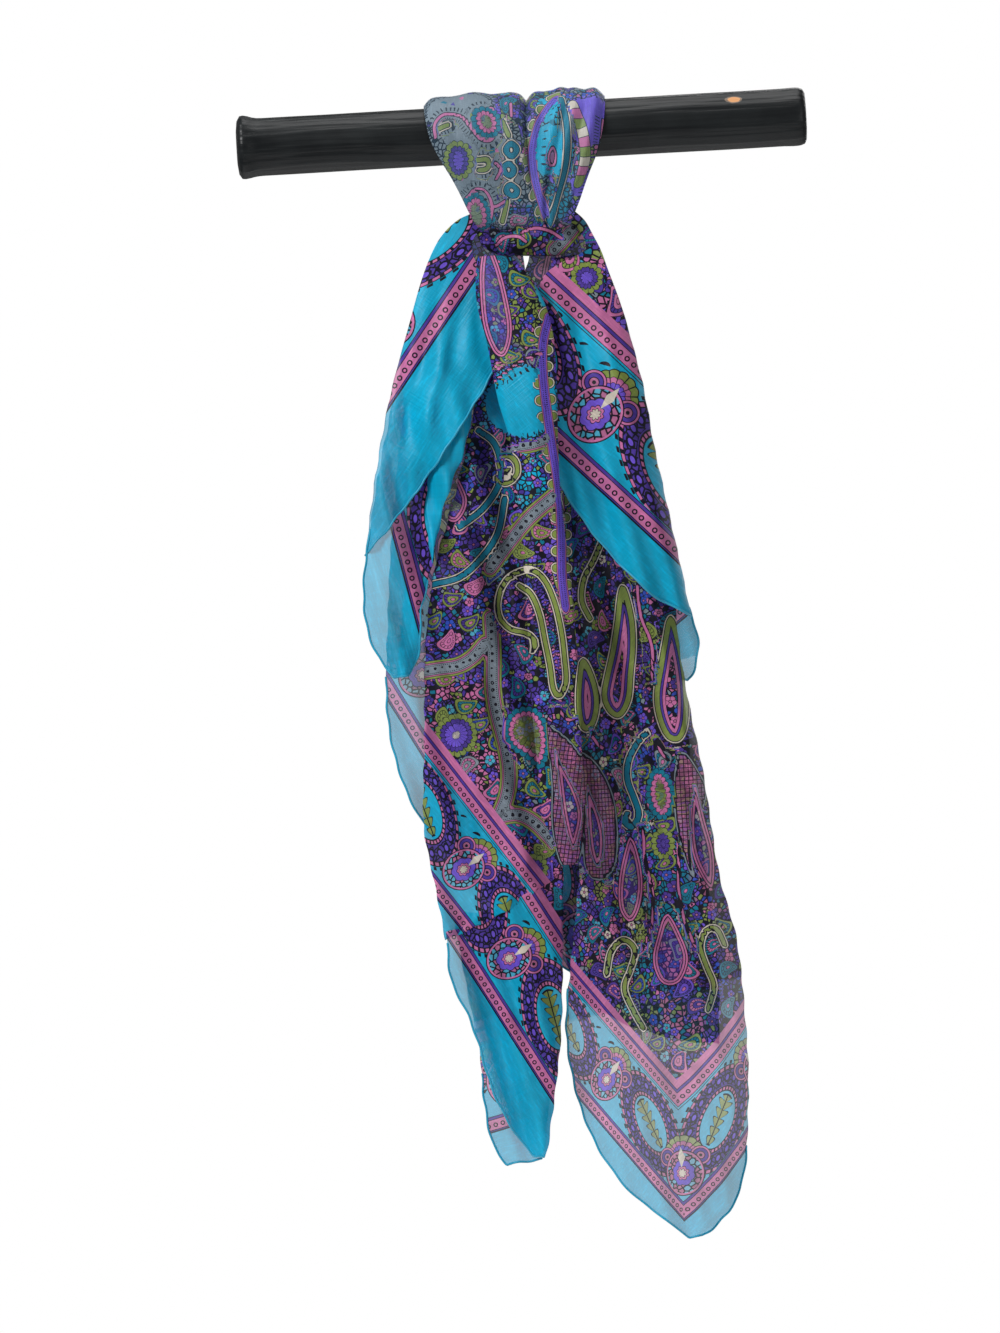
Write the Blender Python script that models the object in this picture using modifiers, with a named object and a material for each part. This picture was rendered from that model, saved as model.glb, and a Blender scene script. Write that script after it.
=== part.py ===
"""Silk square scarf knotted round a straight black rod.

Frame: metres, +Z up, origin on the rod's axis at the middle of its length,
+X along the rod, -Y towards the side the knot is seen from.

The scarf is one 0.9 m square of silk, gathered across its middle and taken
once round the rod. Two loops of it lie side by side over the rod, a band of
the same cloth binds them underneath, and the four corners hang down from it.
Each stretch that shows is a sheet of its own: rows of points run from the
knot to the hem, and every sheet lies on one of a few nested depths that share
the same soft pleats, so that neighbours never touch.
"""

import math

import bmesh
import bpy
from mathutils import Vector

MM = 0.001

# Driving dimensions, in metres
ROD_LENGTH = 0.305
ROD_RADIUS = 0.016
ROD_SIDES = 40
ROD_EDGE = 0.0018
CLOTH_WALL = 0.0012
LOOP_WALL = 0.0016

# The pleats that all hanging sheets share, in millimetres
PLEAT_WIDTH = 46.0
PLEAT_DEPTH = 3.6
PLEAT_SLANT = 0.09
PLEAT_PHASE = 0.5

# The heights between which the gathered sheets spread apart, in millimetres
GATHER_TOP = -58.0
GATHER_END = -165.0
GATHERED = 0.30

# How far each nested sheet lies in front of (-) or behind (+) the rod's axis
# at mid-width once it has spread, in millimetres
DEPTH = {
    "flap": -20.0,
    "corner_left": -13.0,
    "panel": -6.0,
    "tail": -6.0,
    "corner_right": 1.5,
    "tail_back": 1.5,
    "back_left": 9.0,
    "back_right": 17.0,
}

# The nest is lens-shaped from above: its depth at this half width is the
# given share of that in the middle
LENS_HALF_WIDTH = 95.0
LENS_EDGE = 0.45

# The long tail bows below this height: its edges lie this far back
BOWED = "tail_right"
BOW_TOP = -400.0
BOW_MIDDLE = 45.0
BOW_DEPTH = 10.0

# Sheets, as rows from the knot to the hem, in millimetres:
# (left edge x, z, right edge x, z, sag of the row between them)
FLAP_LEFT = [
    (-29, -42, -21, -47, 0),
    (-38, -46, -29, -56, 0),
    (-48, -56, -29, -66, 0),
    (-57, -74, -20, -81, 0),
    (-66, -100, -18, -92, 0),
    (-76, -130, -17, -100, 1),
    (-84, -160, -16, -106, 2),
    (-91, -193, -15, -112, 4),
    (-96, -221, -15, -116, 6),
]
CORNER_LEFT = [
    (-40, -56, -30, -67, 0),
    (-54, -76, -22, -92, 0),
    (-73, -128, -24, -124, 0),
    (-86, -176, -39, -154, 0),
    (-94, -214, -52, -194, 0),
    (-98, -240, -61, -229, 0),
    (-97, -262, -68, -252, 0),
    (-91, -278, -70, -273, 0),
    (-84, -288, -76, -286, 0),
]
FLAP_RIGHT = [
    (21, -48, 25, -43, 0),
    (29, -56, 31, -49, 0),
    (30, -66, 35, -57, 0),
    (17, -71, 39, -66, 0),
    (6, -80, 42, -76, 0),
    (3, -100, 47, -92, 0),
    (2, -120, 51, -108, 0),
    (2, -138, 57, -138, 2),
    (2, -154, 62, -176, 6),
    (2, -166, 69, -218, 11),
    (2, -174, 76, -263, 15),
]
CORNER_RIGHT = [
    (14, -68, 34, -66, 0),
    (18, -108, 46, -104, 0),
    (26, -165, 58, -165, 0),
    (34, -218, 67, -224, 0),
    (42, -250, 75, -258, 0),
    (50, -272, 79, -275, 0),
    (58, -287, 77, -290, 0),
    (66, -296, 72, -298, 0),
]
PANEL_CENTRE = [
    (-24, -112, 2, -104, 0),
    (-33, -145, 4, -142, 0),
    (-46, -190, 6, -185, 0),
    (-60, -232, 7, -228, 0),
    (-67, -275, 8, -275, 0),
    (-70, -320, 8, -322, 0),
    (-73, -366, 6, -362, 0),
    (-69, -398, 2, -384, 1),
    (-65, -429, -2, -397, 3),
]
TAIL_RIGHT = [
    (12, -68, 30, -68, 0),
    (11, -110, 46, -110, 0),
    (11, -170, 58, -170, 0),
    (12, -232, 66, -232, 0),
    (12, -292, 70, -292, 0),
    (12, -350, 78, -350, 0),
    (8, -400, 83, -400, 0),
    (2, -440, 91, -440, 0),
    (-3, -480, 93, -480, 0),
    (0, -512, 93, -512, 0),
    (8, -540, 91, -538, 0),
    (20, -561, 88, -560, 0),
    (35, -577, 82, -577, 0),
    (48, -588, 73, -588, 0),
    (56, -595, 63, -595, 0),
]
TAIL_LEFT = [
    (-64, -433, 0, -402, 3),
    (-63, -450, -2, -430, 2),
    (-55, -470, -4, -458, 1),
    (-50, -487, -6, -482, 0),
    (-46, -504, -9, -502, 0),
    (-40, -521, -12, -519, 0),
    (-32, -536, -15, -535, 0),
    (-24, -547, -18, -548, 0),
]
TAIL_LEFT_BACK = [
    (-60, -416, -6, -412, 0),
    (-54, -462, -8, -456, 0),
    (-50, -492, -10, -490, 0),
    (-49, -517, -14, -516, 0),
    (-46, -538, -17, -536, 0),
    (-39, -551, -20, -549, 0),
]
BACK_LEFT = [
    (-13, -58, -7, -58, 0),
    (-22, -67, -6, -66, 0),
    (-52, -92, -1, -86, 0),
    (-70, -140, 4, -135, 0),
    (-80, -200, 8, -195, 0),
    (-86, -255, 10, -255, 0),
    (-89, -308, 12, -315, 0),
    (-82, -346, 12, -370, 2),
    (-70, -371, 11, -416, 5),
    (-56, -388, 10, -455, 8),
]
BACK_RIGHT = [
    (5, -58, 11, -58, 0),
    (3, -68, 19, -68, 0),
    (-1, -88, 42, -86, 0),
    (-4, -135, 54, -135, 0),
    (-8, -200, 62, -200, 0),
    (-8, -262, 67, -262, 0),
    (-6, -325, 71, -330, 0),
    (-4, -380, 76, -396, 0),
    (-2, -430, 80, -450, 4),
    (2, -462, 78, -492, 7),
]

# The rolled fold down the middle: (left x, right x, z) of its two sides
ROLL = [
    (-27, -10, -65.5),
    (-29, -1, -76),
    (-29, 7, -92),
    (-25, 11, -112),
    (-21, 11, -142),
    (-15, 10, -169),
    (-13, 10, -200),
    (-12, 13, -250),
    (-12, 14, -305),
    (-10, 12, -358),
    (-7, 8, -392),
]
ROLL_BACK = -22.6
ROLL_PLUMP = 0.42
ROLL_SPAN = (math.radians(188), math.radians(395))

# The loops over the rod: the path that both follow in the plane across the
# rod, in millimetres (y, z), front underside first
LOOP_PATH = [
    (-8.5, -51.6),
    (-14.0, -47),
    (-17.0, -34),
    (-19.5, -16),
    (-20.5, 0),
    (-14.8, 14.4),
    (0, 20.5),
    (14.8, 14.4),
    (20.0, 0),
    (17.5, -18),
    (14.0, -36),
    (11.0, -50),
]
# x of each loop's left and right side at each of those points
LOOP_LEFT_SIDES = [
    (-24, 3),
    (-28, 4),
    (-34, 1),
    (-43, 0),
    (-49, 0),
    (-51, 1),
    (-51, 2),
    (-50, 2),
    (-48, 0),
    (-40, 0),
    (-31, 0),
    (-24, 1),
]
LOOP_RIGHT_SIDES = [
    (6, 23),
    (6, 25),
    (3, 31),
    (2, 39),
    (2, 43),
    (3, 45),
    (4, 45),
    (4, 44),
    (2, 42),
    (2, 36),
    (2, 29),
    (3, 23),
]
LOOP_SWELL = 1.7

# The band that binds the loops, in millimetres
BAND_RADII = (25.0, 10.5)
BAND_TOP = -55.6
BAND_HEIGHT = 6.8
BAND_SWELL = 1.4
BAND_TILT = -0.06


def smoothstep(value):
    value = min(max(value, 0.0), 1.0)
    return value * value * (3.0 - 2.0 * value)


def through(rows, count):
    """Rows read at `count` even steps along a smooth curve through `rows`."""
    last = len(rows) - 1
    out = []
    for step in range(count):
        place = last * step / (count - 1)
        i = min(int(place), last - 1)
        f = place - i
        before, a = rows[max(i - 1, 0)], rows[i]
        b, after = rows[i + 1], rows[min(i + 2, last)]
        out.append(
            [
                0.5 * (2 * q + (r - p) * f + (2 * p - 5 * q + 4 * r - s) * f**2
                       + (3 * q - p - 3 * r + s) * f**3)
                for p, q, r, s in zip(before, a, b, after)
            ]
        )
    return out


def pleats(x, z):
    """The shared pleats at a place on the sheets, in millimetres of depth."""
    ramp = smoothstep((GATHER_TOP - 12.0 - z) / 130.0)
    angle = 2.0 * math.pi * (x + PLEAT_SLANT * z) / PLEAT_WIDTH + PLEAT_PHASE
    return PLEAT_DEPTH * ramp * math.sin(angle)


def spread(z):
    """How far the nested sheets have spread apart at a height, up to 1."""
    share = smoothstep((GATHER_TOP - z) / (GATHER_TOP - GATHER_END))
    return GATHERED + (1.0 - GATHERED) * share


def lens(x):
    """The share of its full depth that a sheet keeps at x."""
    return 1.0 - (1.0 - LENS_EDGE) * min((x / LENS_HALF_WIDTH) ** 2, 1.0)


def bow(x, z):
    """How far the long tail's edges bow back, in millimetres."""
    share = smoothstep((BOW_TOP - z) / 120.0)
    return BOW_DEPTH * share * ((x - BOW_MIDDLE) / BOW_MIDDLE) ** 2


def new_object(name, bm, collection, material, wall=None):
    """An object from a bmesh, with a wall on both sides of an open sheet."""
    bmesh.ops.recalc_face_normals(bm, faces=bm.faces)
    mesh = bpy.data.meshes.new(name)
    bm.to_mesh(mesh)
    bm.free()
    mesh.shade_smooth()
    obj = bpy.data.objects.new(name, mesh)
    collection.objects.link(obj)
    mesh.materials.append(material)
    if wall:
        solid = obj.modifiers.new("cloth", "SOLIDIFY")
        solid.thickness = wall
        solid.offset = 0.0
        solid.use_even_offset = True
    return obj


def grid_mesh(points, closed=False):
    """A bmesh of quads over rows of points in millimetres."""
    bm = bmesh.new()
    rows = [[bm.verts.new(Vector(p) * MM) for p in row] for row in points]
    for upper, lower in zip(rows, rows[1:]):
        ring = list(zip(upper, lower))
        if closed:
            ring.append(ring[0])
        for (a, b), (d, c) in zip(ring, ring[1:]):
            bm.faces.new((a, b, c, d))
    return bm


def hanging_sheet(name, rows, layer, across, down, collection, material):
    """A sheet through its rows, laid on its own depth with the pleats."""
    depth = DEPTH[layer]
    points = []
    for xl, zl, xr, zr, sag in through(rows, down + 1):
        row = []
        for step in range(across + 1):
            s = step / across
            x = xl + (xr - xl) * s
            z = zl + (zr - zl) * s - 4.0 * sag * s * (1.0 - s)
            y = depth * spread(z) * lens(x) + pleats(x, z)
            if name == BOWED:
                y += bow(x, z)
            row.append((x, y, z))
        points.append(row)
    return new_object(name, grid_mesh(points), collection, material, CLOTH_WALL)


def rolled_fold(name, around, down, collection, material):
    """The fold down the middle: a plump roll, open at its back."""
    start, end = ROLL_SPAN
    points = []
    for left, right, z in through(ROLL, down + 1):
        middle, half = (left + right) / 2.0, (right - left) / 2.0
        plump = ROLL_PLUMP * half
        back = ROLL_BACK * spread(z) - 0.5 * PLEAT_DEPTH - 0.6
        row = []
        for step in range(around + 1):
            angle = start + (end - start) * step / around
            x = middle + half * math.cos(angle)
            y = back - plump * 0.55 + plump * math.sin(angle)
            row.append((x, y, z))
        points.append(row)
    return new_object(name, grid_mesh(points), collection, material, CLOTH_WALL)


def loop_over_rod(name, sides, across, along, collection, material):
    """A gathered loop: its path across the rod, swollen at mid-width."""
    route = [(y, z, *side) for (y, z), side in zip(LOOP_PATH, sides)]
    points = []
    for y, z, left, right in through(route, along + 1):
        out = Vector((y, z + 8.0)).normalized()
        row = []
        for step in range(across + 1):
            s = step / across
            swell = LOOP_SWELL * math.sin(math.pi * s)
            ripple = 0.5 * math.sin(2.0 * math.pi * 2.5 * s)
            x = left + (right - left) * s
            push = swell + ripple * math.sin(math.pi * s)
            row.append((x, y + out.x * push, z + out.y * push))
        points.append(row)
    return new_object(name, grid_mesh(points), collection, material, LOOP_WALL)


def binding_band(name, around, tall, collection, material):
    """The band under the loops: a swollen ring round the gathered cloth."""
    radius_x, radius_y = BAND_RADII
    points = []
    for level in range(tall + 1):
        t = level / tall
        swell = BAND_SWELL * math.sin(math.pi * t)
        row = []
        for step in range(around):
            angle = 2.0 * math.pi * step / around
            x = (radius_x + swell) * math.cos(angle)
            y = (radius_y + swell) * math.sin(angle)
            row.append((x, y, BAND_TOP - BAND_HEIGHT * t + BAND_TILT * x))
        points.append(row)
    bm = grid_mesh(points, closed=True)
    return new_object(name, bm, collection, material, CLOTH_WALL)


def rod(name, collection, material):
    """The rod: a cylinder along X with softened end edges."""
    bpy.ops.mesh.primitive_cylinder_add(
        vertices=ROD_SIDES, radius=ROD_RADIUS, depth=ROD_LENGTH
    )
    obj = bpy.context.object
    obj.name = obj.data.name = name
    obj.rotation_euler = (0.0, math.pi / 2.0, 0.0)
    for owner in list(obj.users_collection):
        owner.objects.unlink(obj)
    collection.objects.link(obj)
    obj.data.materials.append(material)
    obj.data.shade_smooth()
    edge = obj.modifiers.new("end_edges", "BEVEL")
    edge.width = ROD_EDGE
    edge.segments = 2
    edge.limit_method = "ANGLE"
    edge.angle_limit = math.radians(60)
    return obj


def surface(name, colour, roughness):
    """A plain Principled material."""
    material = bpy.data.materials.new(name)
    material.use_nodes = True
    shader = material.node_tree.nodes["Principled BSDF"]
    shader.inputs["Base Color"].default_value = (*colour, 1.0)
    shader.inputs["Roughness"].default_value = roughness
    shader.inputs["Metallic"].default_value = 0.0
    return material


def main():
    for obj in list(bpy.data.objects):
        bpy.data.objects.remove(obj, do_unlink=True)
    scarf = bpy.data.collections.new("silk_square_scarf_on_rod")
    bpy.context.scene.collection.children.link(scarf)

    black = surface("rod_black", (0.012, 0.012, 0.014), 0.35)
    print_silk = surface("print_silk", (0.14, 0.11, 0.32), 0.5)
    border_silk = surface("border_silk", (0.02, 0.38, 0.55), 0.5)

    rod("rod", scarf, black)
    loop_over_rod("loop_left", LOOP_LEFT_SIDES, 7, 22, scarf, print_silk)
    loop_over_rod("loop_right", LOOP_RIGHT_SIDES, 6, 22, scarf, print_silk)
    binding_band("knot_band", 28, 3, scarf, print_silk)
    rolled_fold("roll_centre", 9, 16, scarf, print_silk)
    for name, rows, layer, across, down, silk in (
        ("flap_left", FLAP_LEFT, "flap", 8, 12, border_silk),
        ("corner_left", CORNER_LEFT, "corner_left", 6, 14, border_silk),
        ("flap_right", FLAP_RIGHT, "flap", 7, 12, print_silk),
        ("corner_right", CORNER_RIGHT, "corner_right", 4, 13, border_silk),
        ("panel_centre", PANEL_CENTRE, "panel", 8, 15, print_silk),
        ("tail_right", TAIL_RIGHT, "tail", 10, 22, print_silk),
        ("tail_left", TAIL_LEFT, "tail", 7, 8, border_silk),
        ("tail_left_back", TAIL_LEFT_BACK, "tail_back", 6, 8, border_silk),
        ("back_left", BACK_LEFT, "back_left", 9, 16, print_silk),
        ("back_right", BACK_RIGHT, "back_right", 8, 16, print_silk),
    ):
        hanging_sheet(name, rows, layer, across, down, scarf, silk)


main()
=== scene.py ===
import math

import bmesh
import bpy
import numpy as np
from bpy.props import FloatProperty, FloatVectorProperty, PointerProperty
from mathutils import Matrix, Vector, noise


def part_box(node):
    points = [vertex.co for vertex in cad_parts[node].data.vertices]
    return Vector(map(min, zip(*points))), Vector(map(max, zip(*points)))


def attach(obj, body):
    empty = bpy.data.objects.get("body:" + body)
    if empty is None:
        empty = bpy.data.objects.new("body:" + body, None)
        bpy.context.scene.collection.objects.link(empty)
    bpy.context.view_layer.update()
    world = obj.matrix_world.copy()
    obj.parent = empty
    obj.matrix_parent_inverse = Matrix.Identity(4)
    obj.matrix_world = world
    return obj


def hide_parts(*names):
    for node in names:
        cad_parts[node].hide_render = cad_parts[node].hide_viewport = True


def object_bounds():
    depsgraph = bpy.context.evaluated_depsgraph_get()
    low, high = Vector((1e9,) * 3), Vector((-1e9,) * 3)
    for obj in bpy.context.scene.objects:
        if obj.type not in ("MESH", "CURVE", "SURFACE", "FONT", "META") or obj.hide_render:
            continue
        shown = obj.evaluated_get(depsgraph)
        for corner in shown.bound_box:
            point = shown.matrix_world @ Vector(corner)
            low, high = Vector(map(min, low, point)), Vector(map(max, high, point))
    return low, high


bl_info = {
    "name": "Silk Square Scarf on a Rod",
    "version": (1, 0, 0),
    "blender": (4, 5, 0),
    "location": "View3D > Sidebar > Silk Scarf",
    "description": "Makes a printed sheer silk square knotted round a film-wrapped rod",
    "category": "Add Mesh",
}

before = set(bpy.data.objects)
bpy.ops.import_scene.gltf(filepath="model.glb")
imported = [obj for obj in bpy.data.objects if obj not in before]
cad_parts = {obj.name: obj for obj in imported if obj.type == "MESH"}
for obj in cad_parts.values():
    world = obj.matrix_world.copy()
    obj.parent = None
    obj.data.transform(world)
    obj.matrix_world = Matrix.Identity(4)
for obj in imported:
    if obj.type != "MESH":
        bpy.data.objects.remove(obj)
CAD_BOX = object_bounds()
MM = 0.001
ROD_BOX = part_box("rod")

# ---------------------------------------------------------------- cloth layout
# The sheets hang in a nest that is lens-shaped from above and shares its pleats.

PLEAT_WIDTH, PLEAT_DEPTH, PLEAT_SLANT, PLEAT_PHASE = 46.0, 3.6, 0.09, 0.5
FINE_WIDTH, FINE_DEPTH, FINE_SLANT, FINE_PHASE = 17.5, 2.3, 0.24, 1.3
GATHER_TOP, GATHER_END, GATHERED = -58.0, -165.0, 0.30
LENS_HALF_WIDTH, LENS_EDGE = 95.0, 0.45
BOW_TOP, BOW_MIDDLE, BOW_DEPTH = -400.0, 45.0, 10.0
DEPTH = {
    "flap": -20.0,
    "fold_left": -16.6,
    "corner_left": -13.0,
    "panel": -6.0,
    "tail": -6.0,
    "corner_right": 1.5,
    "tail_back": 1.5,
    "back_left": 9.0,
    "back_right": 17.0,
}

# Rows from the knot to the hem, in millimetres:
# (left edge x, z, right edge x, z, sag of the row between them)
ROWS = {
    "flap_left": [
        (-29, -42, -21, -47, 0),
        (-38, -46, -29, -56, 0),
        (-48, -56, -29, -66, 0),
        (-57, -74, -20, -81, 0),
        (-66, -100, -18, -92, 0),
        (-76, -130, -17, -100, 1),
        (-84, -160, -16, -106, 2),
        (-91, -193, -15, -112, 4),
        (-96, -221, -15, -116, 6),
    ],
    "corner_left": [
        (-40, -56, -30, -67, 0),
        (-54, -76, -22, -92, 0),
        (-73, -128, -24, -124, 0),
        (-86, -176, -39, -154, 0),
        (-94, -214, -52, -194, 0),
        (-98, -240, -61, -229, 0),
        (-97, -262, -68, -252, 0),
        (-91, -278, -70, -273, 0),
        (-84, -288, -76, -286, 0),
    ],
    "flap_right": [
        (21, -48, 25, -43, 0),
        (29, -56, 31, -49, 0),
        (30, -66, 35, -57, 0),
        (17, -71, 39, -66, 0),
        (6, -80, 42, -76, 0),
        (3, -100, 47, -92, 0),
        (2, -120, 51, -108, 0),
        (2, -138, 57, -138, 2),
        (2, -154, 62, -176, 6),
        (2, -166, 69, -218, 11),
        (2, -174, 76, -263, 15),
    ],
    "fold_left": [
        (-57, -172, -34, -146, 0),
        (-61, -186, -40, -168, 0),
        (-62, -200, -47, -184, 0),
        (-62, -212, -53, -199, 0),
        (-61, -227, -60, -224, 0),
    ],
    "corner_right": [
        (14, -68, 34, -66, 0),
        (18, -108, 46, -104, 0),
        (26, -165, 58, -165, 0),
        (34, -218, 67, -224, 0),
        (42, -250, 75, -258, 0),
        (50, -272, 79, -275, 0),
        (58, -287, 77, -290, 0),
        (66, -296, 72, -298, 0),
    ],
    "panel_centre": [
        (-24, -112, 2, -104, 0),
        (-33, -145, 4, -142, 0),
        (-46, -190, 6, -185, 0),
        (-60, -232, 7, -228, 0),
        (-67, -275, 8, -275, 0),
        (-70, -320, 8, -322, 0),
        (-73, -366, 6, -362, 0),
        (-69, -398, 2, -384, 1),
        (-65, -429, -2, -397, 3),
    ],
    "tail_right": [
        (12, -68, 30, -68, 0),
        (11, -110, 46, -110, 0),
        (11, -170, 58, -170, 0),
        (12, -232, 66, -232, 0),
        (12, -292, 70, -292, 0),
        (12, -350, 78, -350, 0),
        (8, -400, 83, -400, 0),
        (2, -440, 91, -440, 0),
        (-3, -480, 93, -480, 0),
        (0, -512, 93, -512, 0),
        (8, -540, 91, -538, 0),
        (20, -561, 88, -560, 0),
        (35, -577, 82, -577, 0),
        (48, -588, 73, -588, 0),
        (56, -595, 63, -595, 0),
    ],
    "tail_left": [
        (-64, -425, 0, -393, 3),
        (-63, -450, -2, -430, 2),
        (-55, -470, -4, -458, 1),
        (-50, -487, -6, -482, 0),
        (-46, -504, -9, -502, 0),
        (-40, -521, -12, -519, 0),
        (-32, -536, -15, -535, 0),
        (-24, -547, -18, -548, 0),
    ],
    "tail_left_back": [
        (-60, -416, -6, -412, 0),
        (-54, -462, -8, -456, 0),
        (-50, -492, -10, -490, 0),
        (-49, -517, -14, -516, 0),
        (-46, -538, -17, -536, 0),
        (-39, -551, -20, -549, 0),
    ],
    "back_left": [
        (-31, -48, -4, -50, 0),
        (-35, -58, -3.5, -60, 0),
        (-41, -71, -2.5, -69, 0),
        (-52, -92, -1, -86, 0),
        (-70, -140, 4, -135, 0),
        (-80, -200, 8, -195, 0),
        (-86, -255, 10, -255, 0),
        (-89, -308, 12, -315, 0),
        (-82, -346, 12, -370, 2),
        (-70, -371, 11, -416, 5),
        (-56, -388, 10, -455, 8),
    ],
    "back_right": [
        (5, -50, 26, -50, 0),
        (2, -60, 32, -58, 0),
        (0, -68, 37, -68, 0),
        (-4, -84, 43, -86, 0),
        (-4, -135, 54, -135, 0),
        (-8, -200, 62, -200, 0),
        (-8, -262, 67, -262, 0),
        (-6, -325, 71, -330, 0),
        (-4, -380, 76, -396, 0),
        (-2, -430, 80, -450, 4),
        (2, -462, 78, -492, 7),
    ],
}

# How the flat print lies on each sheet: a point of the sheet (x, z), the print
# there (depth in from the hem, distance along it from the side's middle), the
# direction in which depth grows, in degrees, the turn from there to the
# direction in which the distance grows, and the print's scale.
LAY = {
    "flap_left": (-55, -105, 22.7, 118.4, 142.8, -1, 0.74),
    "corner_left": (-73, -230, 22.7, 248.0, 11.8, -1, 0.8),
    "fold_left": (-60, -190, 11.0, 300.0, 0.0, 1, 0.3),
    "flap_right": (30, -187, 22.7, 131.3, 44.0, -1, 0.74),
    "corner_right": (69, -262, 22.7, 120.0, 127.0, 1, 0.8),
    "panel_centre": (-48, -355, 65.7, 238.0, 34.7, -1, 1.0),
    "tail_left": (-50, -446, 22.7, 336.9, 29.5, -1, 0.95),
    "tail_left_back": (-42, -529, 22.7, 200.0, 105.0, 1, 0.9),
    "back_left": (-68, -330, 22.7, 300.0, 28.7, -1, 0.9),
    "back_right": (36, -478, 2.0, 120.0, 86.0, 1, 1.0),
}
CORNER = (54.0, -614.0)

ROLL = [
    (-27, -10, -65.5),
    (-29, -1, -76),
    (-29, 7, -92),
    (-25, 11, -112),
    (-21, 11, -142),
    (-15, 10, -169),
    (-13, 10, -200),
    (-12, 13, -250),
    (-12, 14, -305),
    (-10, 12, -358),
    (-7, 8, -392),
]
ROLL_BACK, ROLL_PLUMP = -22.6, 0.42
ROLL_SPAN = (math.radians(188), math.radians(395))

LOOP_PATH = [
    (-8.5, -51.6),
    (-14.0, -47),
    (-17.0, -34),
    (-19.5, -16),
    (-20.5, 0),
    (-14.8, 14.4),
    (0, 20.5),
    (14.8, 14.4),
    (20.0, 0),
    (17.5, -18),
    (14.0, -36),
    (11.0, -50),
]
LOOP_SIDES = {
    "loop_left": [
        (-24, 7), (-28, 8), (-34, 5), (-43, 3.5), (-49, 3), (-51, 3),
        (-51, 3), (-50, 3), (-48, 3), (-40, 2.5), (-31, 2.5), (-24, 3),
    ],
    "loop_right": [
        (6, 23), (6, 25), (3, 31), (2, 39), (2, 43), (3, 45),
        (4, 45), (4, 44), (2, 42), (2, 36), (2, 29), (3, 23),
    ],
}
LOOP_SWELL = 1.7
BAND_TILT = -0.06


def through(rows, count):
    """Rows read at `count` even steps along a smooth curve through `rows`."""
    last = len(rows) - 1
    out = []
    for step in range(count):
        place = last * step / (count - 1)
        i = min(int(place), last - 1)
        f = place - i
        before, a = rows[max(i - 1, 0)], rows[i]
        b, after = rows[i + 1], rows[min(i + 2, last)]
        out.append([
            0.5 * (2 * q + (r - p) * f + (2 * p - 5 * q + 4 * r - s) * f**2
                   + (3 * q - p - 3 * r + s) * f**3)
            for p, q, r, s in zip(before, a, b, after)
        ])
    return out


# ---------------------------------------------------------------- the print
# The print is drawn in two parts. The border follows the flat square, and the
# motifs of the field are strokes and closed outlines, charted in millimetres on
# the hanging cloth (x, z). Each vertex keeps its distance to the nearest outline,
# how far along that outline it is, and the outline's kind.

(OLIVE_PAISLEY, SLIM_DROP, TEAL_LINE, GREY_BAND, PURPLE_BAND, PINK_LINE, FAN, FLOWER, DASH,
 LATTICE, STRIP) = range(1, 12)

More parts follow.
